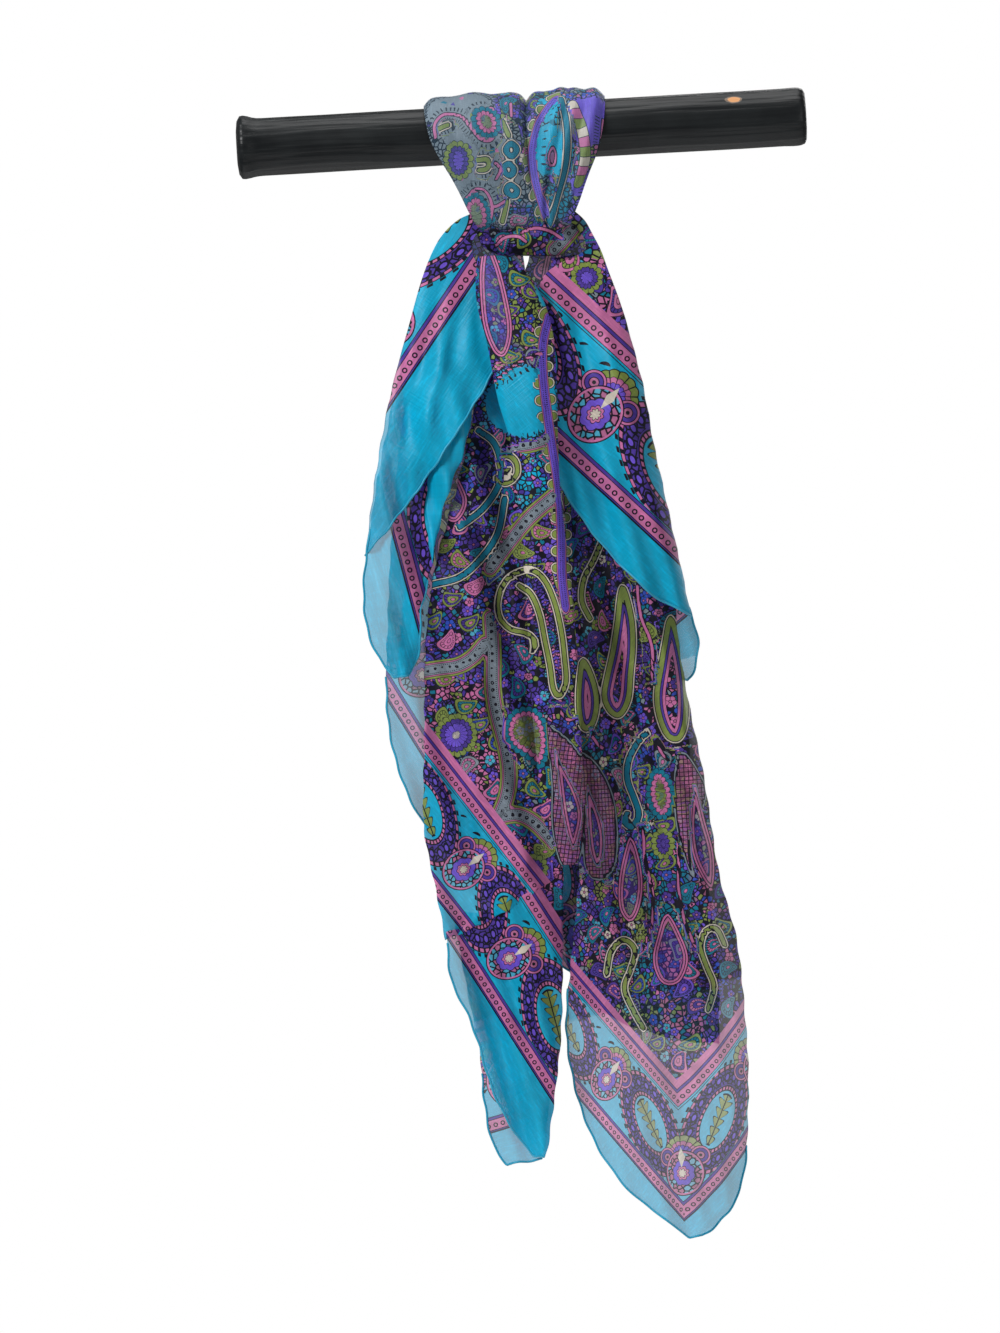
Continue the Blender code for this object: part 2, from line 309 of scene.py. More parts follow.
FIELD_CHART = [
    (OLIVE_PAISLEY, False, [(-10, -277), (-8, -273), (-12, -268), (-21, -265), (-26, -259),
                            (-27, -251), (-24, -242), (-18, -236), (-9, -234), (-2, -239),
                            (3, -251), (6, -267), (7, -283), (7, -295), (3, -302), (0, -298),
                            (-1, -286), (-3, -272), (-5, -258), (-9, -247), (-15, -242)]),
    (OLIVE_PAISLEY, True, [(40, -246), (44, -262), (44, -278), (42, -292), (40, -306), (35, -314),
                           (30, -312), (27, -304), (29, -294), (33, -280), (36, -266)]),
    (OLIVE_PAISLEY, True, [(65, -264), (69, -280), (71, -300), (70, -318), (66, -328), (60, -327),
                           (56, -317), (55, -305), (58, -290), (61, -277)]),
    (OLIVE_PAISLEY, True, [(17, -284), (22, -296), (23, -308), (20, -318), (15, -320),
                           (13, -310), (14, -296)]),
    (OLIVE_PAISLEY, True, [(48, -205), (52, -216), (52, -228), (47, -235), (42, -230), (41, -218)]),
    (LATTICE, True, [(-9, -316), (2, -322), (12, -335), (14, -356), (9, -388), (0, -392),
                     (-4, -372), (-3, -350), (-4, -332)]),
    (LATTICE, True, [(12, -334), (22, -342), (29, -362), (28, -392), (19, -401), (12, -392),
                     (14, -356)]),
    (LATTICE, True, [(66, -336), (74, -346), (78, -360), (68, -384), (69, -402), (63, -380),
                     (62, -356)]),
    (SLIM_DROP, True, [(-1, -330), (4, -341), (9, -352), (12, -364), (10, -375), (6, -384),
                       (3, -377), (1, -364), (0, -350)]),
    (SLIM_DROP, True, [(15, -350), (20, -362), (23, -376), (22, -389), (18, -395), (15, -388),
                       (14, -376), (14, -362)]),
    (SLIM_DROP, True, [(73, -353), (77, -372), (81, -392), (79, -409), (73, -401), (69, -388),
                       (69, -370)]),
    (SLIM_DROP, True, [(37, -379), (41, -391), (42, -406), (39, -419), (34, -425), (29, -418),
                       (29, -405), (32, -391)]),
    (SLIM_DROP, True, [(-22, -57), (-17, -68), (-13, -86), (-11, -106), (-15, -119), (-21, -118),
                       (-26, -104), (-27, -86), (-26, -70)]),
    (SLIM_DROP, True, [(54, -421), (61, -434), (64, -446), (60, -457), (54, -460), (48, -457),
                       (45, -446), (48, -434)]),
    (SLIM_DROP, True, [(-50, -172), (-44, -183), (-40, -196), (-46, -206), (-53, -203),
                       (-57, -190)]),
    (TEAL_LINE, False, [(49, -324), (43, -330), (38, -339), (37, -349), (40, -359), (42, -368),
                        (38, -374), (34, -371), (36, -367)]),
    (TEAL_LINE, False, [(-32, -158), (-24, -165), (-21, -177), (-23, -188), (-32, -200),
                        (-45, -209)]),
    (TEAL_LINE, False, [(-20, -195), (-25, -214), (-36, -228), (-47, -236), (-62, -239)]),
    (OLIVE_PAISLEY, False, [(-24, -184), (-19, -187), (-13, -183), (-13, -176), (-18, -172),
                            (-22, -176), (-20, -181), (-17, -180)]),
    (GREY_BAND, False, [(-31, -258), (-31, -278), (-32, -294), (-31, -308), (-27, -328),
                        (-26, -342), (-28, -354), (-33, -365)]),
    (GREY_BAND, False, [(-33, -365), (-23, -364), (-14, -369), (-6, -378), (1, -387), (12, -396),
                        (24, -402)]),
    (GREY_BAND, False, [(-70, -285), (-60, -284), (-50, -283), (-42, -279), (-35, -272)]),
    (GREY_BAND, False, [(-30, -232), (-20, -220), (-8, -207), (6, -196)]),
    (GREY_BAND, False, [(-20, -170), (-12, -168), (-3, -167), (6, -164)]),
    (GREY_BAND, False, [(43, -66), (52, -88), (58, -112), (64, -140)]),
    (PURPLE_BAND, False, [(9, -100), (5, -114), (4, -130), (5, -150), (7, -172), (9, -194),
                          (9, -216), (8, -238), (9, -256)]),
    (OLIVE_PAISLEY, False, [(34, -200), (32, -216), (26, -230), (20, -240), (18, -252),
                            (22, -262)]),
    (PINK_LINE, False, [(48, -246), (49, -262), (54, -278), (53, -296)]),
    (PURPLE_BAND, False, [(-58, -130), (-62, -155), (-60, -178)]),
    (PINK_LINE, False, [(-22, -133), (-9, -124), (4, -119)]),
    (PINK_LINE, False, [(19, -324), (24, -331), (31, -332), (38, -323)]),
    (PINK_LINE, False, [(2, -309), (7, -315), (16, -316)]),
    (PINK_LINE, False, [(54, -332), (59, -339), (65, -335)]),
    (PINK_LINE, False, [(44, -375), (44, -392), (47, -410), (46, -425), (40, -440)]),
    (PINK_LINE, False, [(63, -375), (62, -392), (61, -410), (63, -425), (68, -440)]),
    (OLIVE_PAISLEY, False, [(20, -452), (23, -440), (30, -434), (36, -440), (33, -450), (29, -460),
                            (33, -472), (38, -482)]),
    (OLIVE_PAISLEY, False, [(84, -440), (80, -431), (74, -432), (71, -441), (74, -452),
                            (77, -462), (73, -474)]),
    (FAN, True, [(-22, -309), (-11, -308), (-5, -316), (-4, -329), (-9, -340), (-16, -334),
                 (-24, -328), (-27, -319)]),
    (FAN, True, [(51, -345), (57, -346), (61, -354), (61, -364), (55, -371), (49, -366),
                 (47, -355)]),
    (FLOWER, True, [(-53, -309), (-44, -313), (-43, -324), (-52, -331), (-62, -327), (-63, -315)]),
    (FLOWER, True, [(30, -72), (37, -75), (38, -83), (31, -88), (24, -85), (23, -76)]),
    (FLOWER, True, [(-17, -386), (-10, -389), (-9, -396), (-16, -400), (-23, -397), (-23, -390)]),
    (FLOWER, True, [(54, -376), (59, -380), (59, -388), (54, -392), (49, -388), (49, -380)]),
    *((DASH, False, [(x, -124.5 + 0.45 * x), (x - 1.0, -128 + 0.45 * x)])
      for x in range(-20, 4, 3)),
    *((DASH, False, [(x, -163 + 0.2 * x), (x + 0.4, -160 + 0.2 * x)]) for x in range(-18, 3, 3)),
]

LOOP_CHART = [
    (PINK_LINE, False, [(-46, 2), (-46, 9), (-40, 14), (-32, 12), (-27, 5), (-22, -1), (-16, -1),
                        (-14, 7), (-15, 17)]),
    (PINK_LINE, False, [(-31, -31), (-27, -27), (-21, -27), (-18, -34), (-19, -42), (-22, -51)]),
    (PINK_LINE, False, [(-5, 18), (-5, 10)]),
    (PINK_LINE, False, [(-17, -35), (-11, -33)]),
    (PURPLE_BAND, False, [(19, 19), (12, 10), (8, 2), (5, -10), (6, -25), (11, -43)]),
    (FAN, True, [(-25, 13), (-18, 16), (-12, 12), (-12, 3), (-19, 0), (-25, 5)]),
    (FAN, True, [(-33, -34), (-26, -29), (-20, -36), (-20, -47), (-27, -51), (-33, -45)]),
    (FLOWER, True, [(-38, -2), (-30, -3), (-27, -11), (-30, -19), (-38, -20), (-42, -11)]),
    (OLIVE_PAISLEY, False, [(-25, -11), (-19, -11), (-19, -15), (-24, -16)]),
    (PINK_LINE, False, [(-15, -13), (-12, -17), (-15, -21)]),
    (TEAL_LINE, True, [(-8, -14), (-5, -17), (-8, -20), (-11, -17)]),
    (TEAL_LINE, True, [(-6, -4), (-3, -7), (-6, -10), (-9, -7)]),
    (TEAL_LINE, True, [(-7, -25), (-4, -28), (-7, -31), (-10, -28)]),
    (OLIVE_PAISLEY, False, [(-44, 6), (-39, 8)]),
    (OLIVE_PAISLEY, False, [(-10, 8), (-7, 0)]),
    (OLIVE_PAISLEY, False, [(-10, -34), (-13, -43)]),
    (SLIM_DROP, True, [(16, -6), (18, -10), (17, -16), (14, -17), (13, -11)]),
    (STRIP, False, [(28, 14), (31, 6), (33, -4), (33, -14), (29, -26)]),
    (PINK_LINE, False, [(44, 8), (42, -6), (38, -20), (32, -34), (28, -48)]),
    (TEAL_LINE, False, [(22, 18), (24, 6), (24, -6), (22, -18), (18, -30), (12, -46)]),
    *((DASH, False, [(x, z), (x + 2.6, z + 0.6)]) for x, z in (
        (17, 13), (14, 9), (12, 5), (11, 1), (10, -3), (9.5, -7), (9.5, -11), (10, -15),
        (10.5, -19), (11, -23), (12, -27))),
]

# sRGB colours of the inks
INKS = {
    "turquoise": (0.0, 0.67, 0.82),
    "teal": (0.02, 0.47, 0.58),
    "purple": (0.31, 0.22, 0.61),
    "bright_purple": (0.44, 0.33, 0.82),
    "pink": (0.80, 0.45, 0.65),
    "dusty_pink": (0.72, 0.42, 0.58),
    "olive": (0.52, 0.59, 0.28),
    "lime": (0.62, 0.72, 0.33),
    "grey": (0.50, 0.55, 0.59),
    "blue": (0.20, 0.32, 0.75),
    "cream": (0.84, 0.80, 0.74),
    "navy": (0.045, 0.04, 0.11),
    "sky": (0.30, 0.68, 0.80),
}


def linear(ink):
    """An ink's colour as light, from its everyday sRGB value."""
    return tuple(c / 12.92 if c <= 0.04045 else ((c + 0.055) / 1.055) ** 2.4 for c in INKS[ink])


# Grounds of the field: (x, z, radius, ink, how densely florets cover it)
GROUNDS = [
    (-30, -185, 22, "purple", 0.8),
    (-40, -188, 9, "pink", 0.35),
    (-45, -255, 24, "purple", 1.0),
    (-8, -262, 22, "purple", 0.9),
    (-52, -320, 22, "pink", 0.75),
    (-42, -352, 16, "pink", 0.6),
    (-12, -385, 16, "pink", 0.6),
    (-12, -345, 18, "olive", 0.9),
    (-14, -300, 12, "purple", 0.7),
    (6, -290, 14, "blue", 1.0),
    (5, -345, 14, "olive", 1.0),
    (-20, -95, 12, "purple", 0.6),
    (-4, -98, 12, "olive", 0.6),
    (28, -90, 16, "pink", 0.5),
    (45, -110, 14, "pink", 0.5),
    (-8, -145, 15, "turquoise", 0.0),
    (12, -90, 9, "turquoise", 0.0),
    (-4, -190, 12, "turquoise", 0.7),
    (0, -215, 14, "purple", 0.9),
    (25, -260, 20, "navy", 1.0),
    (50, -240, 20, "purple", 1.0),
    (36, -292, 8, "pink", 0.5),
    (64, -300, 8, "pink", 0.5),
    (48, -315, 16, "navy", 1.0),
    (28, -345, 20, "teal", 1.0),
    (60, -345, 16, "navy", 0.9),
    (54, -395, 22, "teal", 0.5),
    (54, -425, 12, "teal", 0.4),
    (42, -430, 10, "olive", 0.4),
    (68, -430, 10, "olive", 0.4),
    (30, -400, 14, "olive", 0.6),
    (80, -400, 16, "dusty_pink", 0.9),
    (25, -440, 14, "dusty_pink", 0.9),
    (38, -450, 14, "teal", 0.5),
    (76, -450, 18, "purple", 0.9),
    (54, -445, 9, "pink", 0.3),
    (54, -480, 12, "dusty_pink", 0.7),
    (40, -480, 12, "olive", 0.8),
]
LOOP_GROUNDS = [
    (-40, 10, 22, "grey", 0.1),
    (-14, -30, 8, "grey", 0.1),
    (-12, 10, 7, "olive", 0.6),
    (-13, -46, 6, "grey", 0.1),
    (-25, -20, 24, "grey", 0.1),
    (-20, 5, 14, "grey", 0.1),
    (-3, -12, 7, "bright_purple", 0.5),
    (-8, -48, 12, "purple", 0.8),
    (14, -8, 10, "turquoise", 0.0),
    (17, 14, 7, "turquoise", 0.1),
    (20, -34, 8, "teal", 0.2),
    (38, 6, 12, "bright_purple", 0.04),
    (32, -36, 12, "bright_purple", 0.1),
    (26, 4, 5, "grey", 0.04),
    (40, -14, 6, "dusty_pink", 0.7),
    (-5, 18, 8, "purple", 0.5),
]
BAND_CHART = [
    (PINK_LINE, False, [(-17, -60), (-12, -56), (-5, -56), (-1, -59)]),
    (PINK_LINE, False, [(-3, -54), (4, -52), (12, -54), (18, -58)]),
    (GREY_BAND, False, [(14, -64), (21, -57), (27, -50)]),
]
BAND_GROUNDS = [
    (-18, -56, 10, "purple", 0.9),
    (0, -60, 9, "navy", 1.0),
    (12, -58, 8, "dusty_pink", 0.9),
    (22, -54, 8, "bright_purple", 0.6),
    (4, -49, 6, "teal", 0.8),
]


def smooth_line(points, closed):
    """A curve through given points, as an array of short runs."""
    pts = np.array(points, float)
    if closed:
        pts = np.vstack([pts[-1], pts, pts[0], pts[1]])
    else:
        pts = np.vstack([2 * pts[0] - pts[1], pts, 2 * pts[-1] - pts[-2]])
    out = []
    for i in range(1, len(pts) - 2):
        p, q, r, s = pts[i - 1 : i + 3]
        for f in np.linspace(0, 1, 5)[:-1]:
            out.append(0.5 * (2 * q + (r - p) * f + (2 * p - 5 * q + 4 * r - s) * f**2
                              + (3 * q - p - 3 * r + s) * f**3))
    out.append(pts[-2])
    return np.array(out)


def chart_at(chart, places):
    """For each place, the distance to the nearest outline of the chart, how far
    along the outline it is, and the outline's kind. Inside a closed one the
    distance is negative."""
    count = len(places)
    best = np.full(count, 99.0)
    along = np.zeros(count)
    kind = np.zeros(count)
    for what, closed, points in chart:
        line = smooth_line(points, closed)
        low, high = line.min(0) - 14, line.max(0) + 14
        near = np.where(np.all((places > low) & (places < high), axis=1))[0]
        if not near.size:
            continue
        p = places[near]
        a, b = line[:-1], line[1:]
        run = b - a
        length = np.maximum(np.linalg.norm(run, axis=1), 1e-6)
        start = np.concatenate([[0], np.cumsum(length)[:-1]])
        rel = p[:, None, :] - a[None]
        t = np.clip((rel * run[None]).sum(2) / length[None] ** 2, 0, 1)
        gap = np.linalg.norm(rel - t[..., None] * run[None], axis=2)
        pick = gap.argmin(1)
        rows = np.arange(len(p))
        d = gap[rows, pick]
        s = start[pick] + t[rows, pick] * length[pick]
        if closed:
            rises = (a[None, :, 1] > p[:, None, 1]) != (b[None, :, 1] > p[:, None, 1])
            slope = np.where(np.abs(run[:, 1]) < 1e-9, 1e-9, run[:, 1])
            cross = a[None, :, 0] + (p[:, None, 1] - a[None, :, 1]) * run[None, :, 0] / slope[None]
            inside = (rises & (p[:, None, 0] < cross)).sum(1) % 2 == 1
            d = np.where(inside, -d, d)
        if what == LATTICE:
            d = np.maximum(d, -0.3)
        better = d < best[near]
        hit = near[better]
        best[hit], along[hit], kind[hit] = d[better], s[better], what
    return best, along, kind


def grounds_at(grounds, places, fallback):
    """The ground's colour and how densely florets cover it, blended between spots."""
    weights = []
    for x, z, radius, _, _ in grounds:
        near = np.hypot(places[:, 0] - x, places[:, 1] - z) / radius
        weights.append(np.exp(-1.6 * near**2) ** 3)
    base = np.full(len(places), 1e-4)
    weights = np.array(weights + [base])
    colours = np.array([(*linear(ink), much) for _, _, _, ink, much in grounds]
                       + [(*linear(fallback), 1.0)])
    weights = weights**1.6
    return (weights / weights.sum(0)).T @ colours


# ---------------------------------------------------------------- node writing

class Ink:
    """A number in a node tree, so that sums read as sums."""

    def __init__(self, tree, socket):
        self.tree, self.socket = tree, socket

    def math(self, kind, *others, clamp=False):
        node = self.tree.nodes.new("ShaderNodeMath")
        node.operation, node.use_clamp = kind, clamp
        for slot, item in zip(node.inputs, (self, *others)):
            if isinstance(item, Ink):
                self.tree.links.new(item.socket, slot)
            else:
                slot.default_value = item
        return Ink(self.tree, node.outputs[0])

    def __add__(self, o):
        return self.math("ADD", o)

    def __sub__(self, o):
        return self.math("SUBTRACT", o)

    def __mul__(self, o):
        return self.math("MULTIPLY", o)

    def __truediv__(self, o):
        return self.math("DIVIDE", o)

    def __abs__(self):
        return self.math("ABSOLUTE")

    def __lt__(self, o):
        return self.math("LESS_THAN", o)

    def __gt__(self, o):
        return self.math("GREATER_THAN", o)

    def madd(self, factor, offset):
        return self.math("MULTIPLY_ADD", factor, offset)

    def max(self, o):
        return self.math("MAXIMUM", o)

    def min(self, o):
        return self.math("MINIMUM", o)

    def sin(self):
        return self.math("SINE")

    def power(self, o):
        return self.math("POWER", o)

    def wrap(self, pitch):
        """Even repeats `pitch` long, each running from minus to plus half of it."""
        return self.math("WRAP", pitch / 2, -pitch / 2)

    def near(self, centre, reach):
        return self.math("COMPARE", centre, reach)


def length_of(x, y):
    """How far (x, y) is from nought."""
    return (x * x + y * y).math("SQRT")


def angle_of(y, x):
    return y.math("ARCTAN2", x)


def add_node(tree, kind, **settings):
    node = tree.nodes.new(kind)
    for key, value in settings.items():
        if key in node.inputs:
            socket = node.inputs[key]
            if isinstance(value, Ink):
                tree.links.new(value.socket, socket)
            elif isinstance(value, bpy.types.NodeSocket):
                tree.links.new(value, socket)
            else:
                socket.default_value = value
        else:
            setattr(node, key, value)
    return node


def mix(tree, factor, under, over):
    """`over` laid on `under` by `factor`."""
    node = tree.nodes.new("ShaderNodeMix")
    node.data_type = "RGBA"
    for index, item in ((0, factor), (6, under), (7, over)):
        socket = node.inputs[index]
        if isinstance(item, Ink):
            tree.links.new(item.socket, socket)
        elif isinstance(item, bpy.types.NodeSocket):
            tree.links.new(item, socket)
        elif isinstance(item, str):
            socket.default_value = (*linear(item), 1)
        else:
            socket.default_value = item
    return node.outputs[2]


def inked(tree, number, low, high, stops):
    """Colour and cover of bands that step at set values of `number`."""
    node = tree.nodes.new("ShaderNodeValToRGB")
    ramp = node.color_ramp
    ramp.interpolation = "CONSTANT"
    for i, (place, ink, cover) in enumerate(stops):
        where = (place - low) / (high - low)
        if i == 0:
            ramp.elements[0].position = 0.0
            element = ramp.elements[0]
        elif i == 1:
            element = ramp.elements[1]
            element.position = where
        else:
            element = ramp.elements.new(where)
        element.color = (*linear(ink), cover)
    tree.links.new(number.madd(1 / (high - low), -low / (high - low)).socket, node.inputs[0])
    return node.outputs[0], Ink(tree, node.outputs[1])


NOTHING = ("navy", 0.0)
PROFILES = {
    OLIVE_PAISLEY: [(-12, *NOTHING), (-4.9, "navy", 1), (-4.6, "pink", 0.95),
                    (-3.2, "navy", 1), (-2.9, "purple", 1), (-1.9, "navy", 1), (-1.5, "olive", 1),
                    (1.0, "navy", 1), (1.45, "cream", 1), (2.0, "navy", 1), (2.4, *NOTHING)],
    SLIM_DROP: [(-12, "purple", 0.35), (-3.0, "navy", 0.9), (-2.6, "pink", 0.8), (-1.5, "navy", 1),
                (-1.1, "pink", 1), (-0.2, "navy", 1), (0.3, *NOTHING)],
    TEAL_LINE: [(-12, *NOTHING), (-2.6, "navy", 1), (-2.2, "cream", 1), (-1.7, "navy", 1),
                (-1.3, "teal", 1), (1.3, "navy", 1), (1.7, "cream", 1), (2.2, "navy", 1),
                (2.6, *NOTHING)],
    GREY_BAND: [(-12, "grey", 1), (2.6, "navy", 1), (2.9, "dusty_pink", 1), (3.4, "navy", 1),
                (3.7, "olive", 1), (4.6, "navy", 1), (4.9, *NOTHING)],
    PURPLE_BAND: [(-12, "bright_purple", 1), (1.8, "navy", 1), (2.0, "pink", 1), (2.4, "navy", 1),
                  (2.7, *NOTHING)],
    DASH: [(-12, "navy", 1), (0.55, *NOTHING)],
    LATTICE: [(-12, "dusty_pink", 0.55), (-0.2, "navy", 1), (0.2, "grey", 1), (0.8, "navy", 1),
              (1.1, *NOTHING)],
    PINK_LINE: [(-12, "pink", 1), (0.75, "navy", 1), (1.15, *NOTHING)],
    FAN: [(-12, "olive", 0.55), (-5.4, "navy", 1), (-5.1, "pink", 1), (-3.0, "navy", 1),
          (-2.7, "teal", 1), (-0.4, "navy", 1), (0.0, *NOTHING)],
    FLOWER: [(-12, "cream", 1), (-9.6, "navy", 1), (-9.2, "bright_purple", 1), (-5.6, "navy", 1),
             (-5.2, "purple", 1), (-3.2, "navy", 1), (-2.8, "olive", 1), (-0.4, "navy", 1),
             (0.0, *NOTHING)],
}
SIDE = 450.0
REPEAT = 75.8
PLOTS = 68.0


def print_colour(tree):
    """The printed colour, from the cloth's flat coordinates, and the socket of those coordinates.
    """
    flat = add_node(tree, "ShaderNodeUVMap", uv_map="flat").outputs[0]
    parts = add_node(tree, "ShaderNodeSeparateXYZ", Vector=flat)
    across, down = (abs(Ink(tree, parts.outputs[i]) * 1000.0) for i in (0, 1))
    depth = across.max(down).madd(-1.0, SIDE)
    along = across.min(down)

    # the field: ground, florets, then flowers
    ground = add_node(tree, "ShaderNodeAttribute", attribute_name="ground")
    much = Ink(tree, ground.outputs["Alpha"])
    cells = {"voronoi_dimensions": "2D", "Vector": flat, "Scale": 400.0}
    edge = add_node(tree, "ShaderNodeTexVoronoi", feature="DISTANCE_TO_EDGE", **cells)
    cell = add_node(tree, "ShaderNodeTexVoronoi", feature="F1", **cells)
    pick = add_node(tree, "ShaderNodeSeparateXYZ", Vector=cell.outputs["Color"])
    luck, luck2 = (Ink(tree, pick.outputs[i]) for i in (0, 1))
    floret, cover = inked(tree, luck, 0, 1, [
        (0.0, "navy", 0.0), (0.30, "navy", 1), (0.44, "purple", 1), (0.58, "pink", 1),
        (0.66, "teal", 1), (0.75, "olive", 1), (0.82, "blue", 1), (0.90, "bright_purple", 1),
        (0.95, "grey", 1),
    ])
    present = luck2 < much
    colour = mix(tree, cover * present, ground.outputs["Color"], floret)
    line = Ink(tree, edge.outputs["Distance"]) < 0.14
    swirl = add_node(tree, "ShaderNodeTexNoise", noise_dimensions="2D", Vector=flat, Scale=34.0,
                     Detail=0.0)
    scribbled = Ink(tree, swirl.outputs[0]) > 0.52
    colour = mix(tree, line * (much > 0.12).max(scribbled * (much > 0.05)), colour, "navy")

    flower = add_node(tree, "ShaderNodeTexVoronoi", voronoi_dimensions="2D", feature="F1",
                      Vector=flat, Scale=112.0, Randomness=0.8)
    local = add_node(tree, "ShaderNodeVectorMath", operation="SUBTRACT")
    tree.links.new(flat, local.inputs[0])
    tree.links.new(flower.outputs["Position"], local.inputs[1])
    lx, ly = (Ink(tree, s) * 1000.0 for s in
              add_node(tree, "ShaderNodeSeparateXYZ", Vector=local.outputs[0]).outputs[:2])
    fpick = add_node(tree, "ShaderNodeSeparateXYZ", Vector=flower.outputs["Color"])
    f1, f2 = (Ink(tree, fpick.outputs[i]) for i in (0, 1))
    radius = length_of(lx, ly)
    turn = angle_of(ly, lx).madd(2.5, f1 * 3.0).sin()
    petal = abs(turn)
    rim = radius - petal * 0.7 - f2 * 1.3 - 1.3
    inner, _ = inked(tree, f1, 0, 1, [
        (0.0, "bright_purple", 1), (0.30, "purple", 1), (0.56, "blue", 1), (0.70, "cream", 1),
        (0.725, "sky", 1), (0.82, "pink", 1), (0.93, "olive", 1)])
    shown = much > 0.3
    colour = mix(tree, (rim < 0.35) * shown, colour, "navy")
    colour = mix(tree, (rim < -0.05) * (petal > 0.2) * shown, colour, inner)
    colour = mix(tree, (radius < 0.9) * shown, colour, "navy")
    colour = mix(tree, (radius < 0.55) * shown, colour, "dusty_pink")

    # small paisleys, each with outlines inside one another and its own turn
    plot = add_node(tree, "ShaderNodeTexVoronoi", voronoi_dimensions="2D", feature="F1",
                    Vector=flat, Scale=PLOTS, Randomness=0.55)
    away = add_node(tree, "ShaderNodeVectorMath", operation="SUBTRACT")
    tree.links.new(flat, away.inputs[0])
    tree.links.new(plot.outputs["Position"], away.inputs[1])
    ax, ay = (Ink(tree, s) * 1000.0 for s in
              add_node(tree, "ShaderNodeSeparateXYZ", Vector=away.outputs[0]).outputs[:2])
    draws = add_node(tree, "ShaderNodeSeparateXYZ", Vector=plot.outputs["Color"])
    draw, draw2 = (Ink(tree, draws.outputs[i]) for i in (0, 1))
    facing = draw * (2 * math.pi)
    c, s = facing.math("COSINE"), facing.sin()
    tall = ay * c - ax * s
    wide = ax * c + ay * s + tall * tall * 0.055 - 0.6
    drop = length_of(wide * (tall * 0.15 + 1.75), tall)
    outer, _ = inked(tree, draw, 0, 1, [
        (0.0, "olive", 1), (0.24, "pink", 1), (0.42, "teal", 1), (0.60, "purple", 1),
        (0.78, "grey", 1), (0.90, "bright_purple", 1)])
    inner, _ = inked(tree, draw2, 0, 1, [
        (0.0, "purple", 1), (0.20, "pink", 1), (0.34, "blue", 1), (0.50, "olive", 1),
        (0.62, "teal", 1)])
    drawn = (draw2 < 0.8) * (much > 0.3)
    rays = (angle_of(wide, tall) * 15.0).sin()
    colour = mix(tree, drop.near(7.2, 0.7) * (rays > 0.0) * drawn, colour, "navy")
    colour = mix(tree, (drop < 6.4) * drawn, colour, "navy")
    colour = mix(tree, (drop < 6.0) * drawn, colour, outer)
    colour = mix(tree, (drop < 4.9) * drawn, colour, "navy")
    colour = mix(tree, (drop < 4.6) * drawn, colour, inner)
    colour = mix(tree, (drop < 4.5) * (drop > 3.3) * (rays > 0.7) * drawn, colour, "navy")
    colour = mix(tree, (drop < 3.3) * drawn, colour, "navy")
    colour = mix(tree, (drop < 3.0) * drawn, colour, outer)
    colour = mix(tree, (drop < 1.5) * drawn, colour, "navy")
    colour = mix(tree, (drop < 1.1) * drawn, colour, "pink")

    # strokes and outlines
    motif = add_node(tree, "ShaderNodeAttribute", attribute_name="motif")
    info = add_node(tree, "ShaderNodeSeparateXYZ", Vector=motif.outputs["Vector"])
    far, run, kind = (Ink(tree, info.outputs[i]) for i in range(3))
    close = abs(far)
    dashes = (far.near(3.3, 1.0)) * ((run.wrap(1.7)) > 0.25)
    colour = mix(tree, dashes * (kind.near(OLIVE_PAISLEY, 0.5).max(kind.near(FAN, 0.5))),
                 colour, "navy")
    disc = length_of(run.wrap(9.0), close - 2.9)
    banded = kind.near(PURPLE_BAND, 0.5)
    for radius, ink in ((3.3, "navy"), (2.9, "cream"), (2.3, "navy"), (2.0, "olive")):
        colour = mix(tree, (disc < radius) * banded, colour, ink)
    ticks = close.near(3.1, 1.2) * (run.wrap(1.7) > 0.3) * (much < 0.3)
    colour = mix(tree, ticks * kind.near(PINK_LINE, 0.5), colour, "navy")
    scallop = (run * (math.pi / 3.6)).sin()
    lobed = far.madd(1.0, abs(scallop) * -1.1)
    for what, stops in PROFILES.items():
        number = lobed if what in (FAN, FLOWER) else far
        ink, over = inked(tree, number, -12, 12, stops)
        colour = mix(tree, over * kind.near(what, 0.5), colour, ink)
    bead = length_of(run.wrap(3.9), far)
    beaded = kind.near(GREY_BAND, 0.5)
    colour = mix(tree, bead.near(0.85, 0.3) * beaded, colour, "navy")
    dots = run.wrap(1.1) > 0.0
    dotted = (close.near(1.9, 0.22) * beaded).max(close.near(0.75, 0.2) * banded) * dots
    colour = mix(tree, dotted, colour, "navy")
    bars = (abs((across + down).wrap(3.2)) < 0.3).max(abs((across - down).wrap(3.2)) < 0.3)
    colour = mix(tree, bars * (far < -0.2) * kind.near(LATTICE, 0.5), colour, "navy")
    blocks, _ = inked(tree, run.wrap(15.0), -7.5, 7.5, [
        (-7.5, "olive", 1), (-2.9, "navy", 1), (-2.5, "cream", 1), (2.1, "navy", 1),
        (2.5, "pink", 1), (7.1, "navy", 1)])
    strip = kind.near(STRIP, 0.5)
    colour = mix(tree, (far < 3.1) * strip, colour, "navy")
    colour = mix(tree, (far < 2.7) * strip, colour, blocks)
    veins = (abs(scallop) < 0.16) * (far < -0.4) * (far > -9.0)
    colour = mix(tree, veins * kind.near(FLOWER, 0.5).max(kind.near(FAN, 0.5)), colour, "navy")

